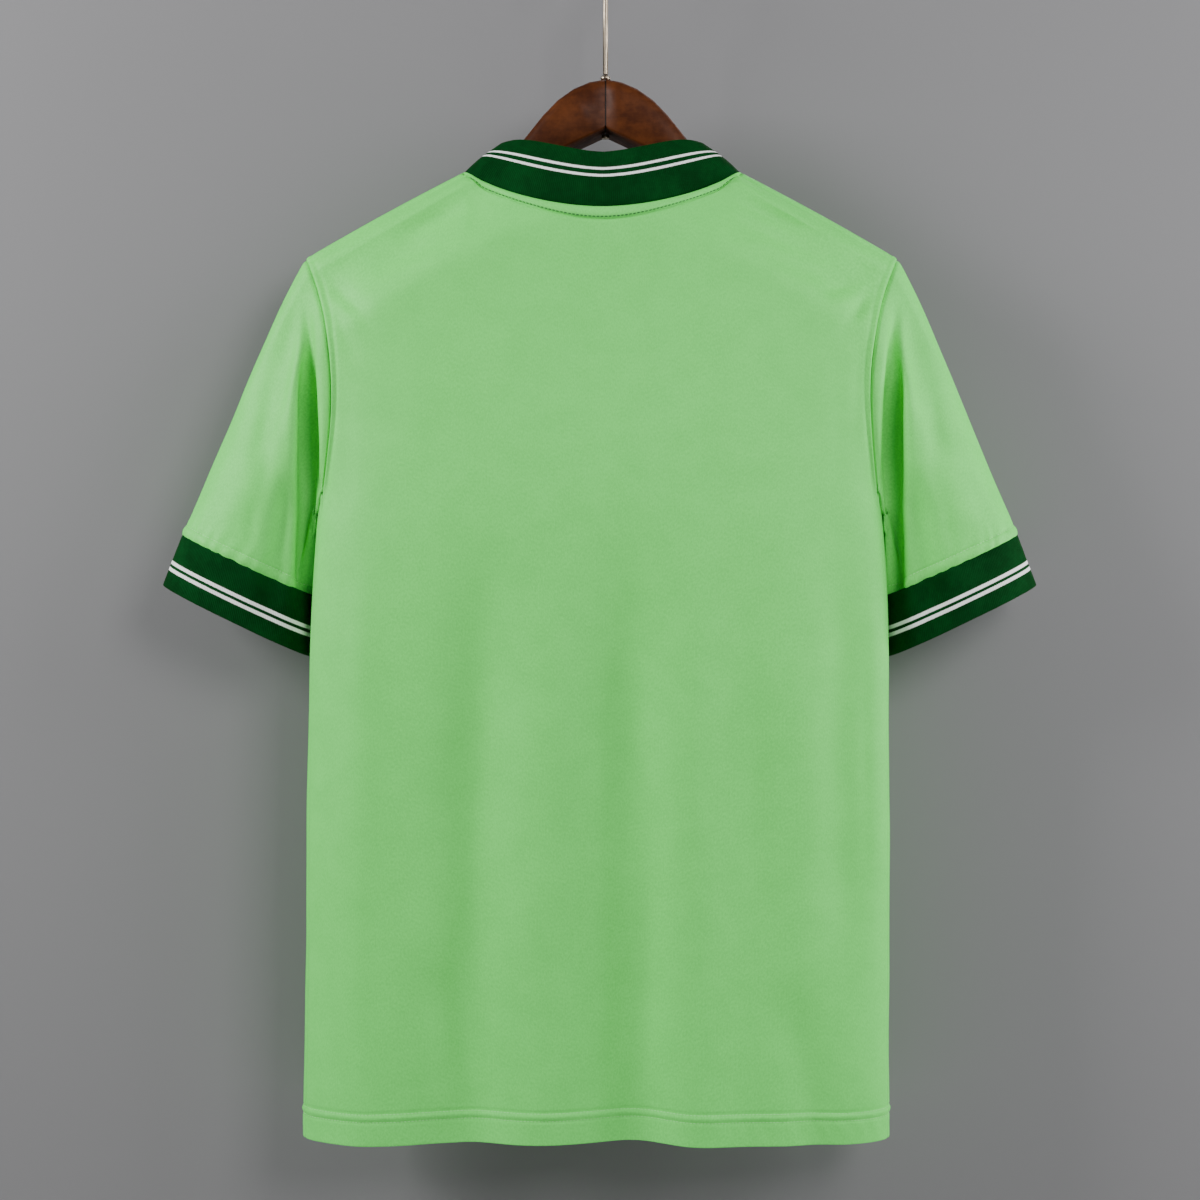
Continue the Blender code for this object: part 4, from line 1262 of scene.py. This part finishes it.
def stitch_shape():
    """Points and faces of one stitch, 1 long and 1 wide, lying along X."""
    bpy.ops.object.select_all(action="DESELECT")
    lying = (0, pi / 2, 0)
    bpy.ops.mesh.primitive_uv_sphere_add(segments=6, ring_count=4, radius=0.5, rotation=lying)
    bead = bpy.context.active_object
    bpy.ops.object.transform_apply(location=True, rotation=True, scale=True)
    points = np.array([point.co[:] for point in bead.data.vertices])
    faces = [list(face.vertices) for face in bead.data.polygons]
    bpy.data.objects.remove(bead)
    return points, faces


STITCH_POINTS, STITCH_FACES = stitch_shape()


def between(places, reached, points):
    """Points read off a line, at places along it."""
    return np.stack([np.interp(places, reached, points[:, k]) for k in range(3)], axis=-1)


def line_on(grid, distance, from_last):
    """A line across the columns of a grid, at a distance from its first or last row."""
    reach = distances(grid, 0)[1 if from_last else 0]
    line = []
    for column in range(grid.shape[1]):
        order = np.argsort(reach[:, column])
        line.append(between(distance, reach[order, column], grid[order, column]))
    return np.array(line)


def stitch_row(name, line, normals, thread, finish, closed=False):
    """Stitches along a line, laid flat on the cloth."""
    if closed:
        line, normals = (np.concatenate([row, row[:1]]) for row in (line, normals))
    reached = np.concatenate([[0.0], np.cumsum(np.linalg.norm(np.diff(line, axis=0), axis=1))])
    count = int(reached[-1] / thread.pitch)
    places = (np.arange(count) + 0.5) * reached[-1] / count
    middle = between(places, reached, line)
    ahead = between(places + LOOK_ALONG, reached, line)
    behind = between(places - LOOK_ALONG, reached, line)
    up = unit(between(places, reached, normals))
    along = unit(ahead - behind)
    side = unit(np.cross(up, along))
    x, y, z = (STITCH_POINTS[:, k] for k in range(3))
    points = (
        middle[:, None]
        + along[:, None] * (x * thread.length)[:, None]
        + side[:, None] * (y * thread.width)[:, None]
        + up[:, None] * (z * thread.width * THREAD_FLATNESS + THREAD_LIFT)[:, None]
    ).reshape(-1, 3)
    starts = range(0, count * len(STITCH_POINTS), len(STITCH_POINTS))
    faces = [[start + vertex for vertex in face] for start in starts for face in STITCH_FACES]
    mesh = bpy.data.meshes.new(name)
    mesh.from_pydata(points.tolist(), [], faces)
    mesh.shade_smooth()
    mesh.materials.append(finish)
    obj = new_object(name, mesh)
    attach(obj, "root")
    return count


def sewing_thread(name, dark, light):
    """Twisted polyester thread, in fine light and dark flecks."""
    material, tree, shader = new_material(name)
    twist = noise_node(tree, stretched(tree, object_place(tree), (2500.0,) * 3), 1.0, 1.0)
    give(tree, shader, {
        "Base Color": blend_colours(tree, twist, dark, light),
        "Roughness": spread(tree, twist, 0.3, 0.7, 0.60, 0.45),
        "Sheen Weight": 0.15,
    })
    return material


hem_thread = sewing_thread("green_thread", (0.150, 0.640, 0.130), (0.380, 0.880, 0.340))
neck_thread = sewing_thread("deep_green_thread", (0.004, 0.050, 0.008), (0.012, 0.110, 0.018))
stitches = 0
for word, grid in (("back", back_grid), ("front", front_grid)):
    normals = grid_normals(grid, False)
    for level, distance in (("low", HEM_LOW_STITCH), ("high", HEM_HIGH_STITCH)):
        line, lift = line_on(grid, distance, True), normals[HEM_ROW]
        stitches += stitch_row(f"hem_{level}_stitches_{word}", line, lift, HEM_THREAD, hem_thread)
    line = line_on(grid, NECK_STRIP, False)[NECK_FROM:-NECK_FROM]
    lift = normals[NECK_ROW, NECK_FROM:-NECK_FROM]
    stitches += stitch_row(f"neck_stitches_{word}", line, lift, NECK_THREAD, neck_thread)
for word, hand in (("left", -1), ("right", 1)):
    grid = tube_grids[hand]
    line, lift = line_on(grid, CUFF_STRIP, True), grid_normals(grid, True)[CUFF_ROW]
    name = f"cuff_stitches_{word}"
    stitches += stitch_row(name, line, lift, CUFF_THREAD, hem_thread, closed=True)
print(stitches, "stitches")

# %% [markdown]
# ## Floor, wall and light
# The jersey hangs in front of a plain grey wall, over a pale floor well below
# the hem. The wall is one-sided and takes only shadows, so that it never stands
# between the jersey and a camera or a lamp behind it. A soft key lamp in front
# gives the sheen and the wall's shadow. Two lamps at the sides graze the cloth,
# so that its folds read, one runs along the wall, and one behind lights the front.

# %% Stage
FLOOR_Z = -1.42
FLOOR_SIZE = 9.0
WALL_Y = 0.063
WALL_SIZE = 4.0
WALL_GREY = (0.205, 0.203, 0.211)


def stage_plane(name, size, location, rotation):
    bpy.ops.object.select_all(action="DESELECT")
    bpy.ops.mesh.primitive_plane_add(size=size, location=location, rotation=rotation)
    plane = bpy.context.active_object
    plane.name = plane.data.name = name
    bpy.ops.object.transform_apply(location=True, rotation=True, scale=True)
    return plane


floor = stage_plane("floor", FLOOR_SIZE, (0, 0, FLOOR_Z), (0, 0, 0))
floor_finish, floor_tree, floor_shader = new_material("pale_floor")
give(floor_tree, floor_shader, {"Base Color": (0.62, 0.62, 0.61, 1.0), "Roughness": 0.85})
floor.data.materials.append(floor_finish)

backdrop = stage_plane("wall", WALL_SIZE, (0, WALL_Y, FLOOR_Z + WALL_SIZE / 2), (pi / 2, 0, 0))
wall_finish, wall_tree, wall_shader = new_material("grey_wall")
give(wall_tree, wall_shader, {
    "Base Color": (*WALL_GREY, 1.0),
    "Roughness": 0.95,
    "Specular IOR Level": 0.1,
})
one_sided = added(wall_tree, "MixShader", {
    "Fac": added(wall_tree, "NewGeometry").outputs["Backfacing"],
    1: wall_shader.outputs["BSDF"],
    2: added(wall_tree, "BsdfTransparent").outputs["BSDF"],
})
give(wall_tree, wall_tree.nodes["Material Output"], {"Surface": one_sided.outputs["Shader"]})
backdrop.data.materials.append(wall_finish)
backdrop.visible_diffuse = backdrop.visible_glossy = backdrop.visible_shadow = False
print("floor at", FLOOR_Z, "wall at", WALL_Y)

# %% Lights
Lamp = namedtuple("Lamp", "name at size power colour")
LAMPS_AIM = Vector((0.0, 0.0, -0.50))
LAMPS = (
    Lamp("key", (0.80, -1.60, 0.20), 0.70, 17.0, (1.0, 0.99, 0.97)),
    Lamp("left_strip", (-1.55, -0.62, 0.25), 0.70, 42.0, (1.0, 1.0, 0.99)),
    Lamp("right_strip", (1.5, -0.65, 0.35), 0.90, 18.0, (0.98, 0.99, 1.0)),
    Lamp("wall_strip", (1.35, -0.12, -0.45), 0.40, 10.0, (1.0, 1.0, 1.0)),
    Lamp("rear", (0.6, 2.2, 0.9), 1.8, 20.0, (1.0, 1.0, 1.0)),
)
for lamp in LAMPS:
    data = bpy.data.lights.new(lamp.name, "AREA")
    data.size, data.energy, data.color = lamp.size, lamp.power, lamp.colour
    light = new_object(lamp.name, data)
    light.location = lamp.at
    light.rotation_euler = (LAMPS_AIM - Vector(lamp.at)).to_track_quat("-Z", "Y").to_euler()

world = bpy.data.worlds.new("studio")
world.use_nodes = True
sky = world.node_tree.nodes["Background"]
give(world.node_tree, sky, {"Color": (0.80, 0.81, 0.83, 1.0), "Strength": 0.145})
bpy.context.scene.world = world
print(len(LAMPS), "lamps")
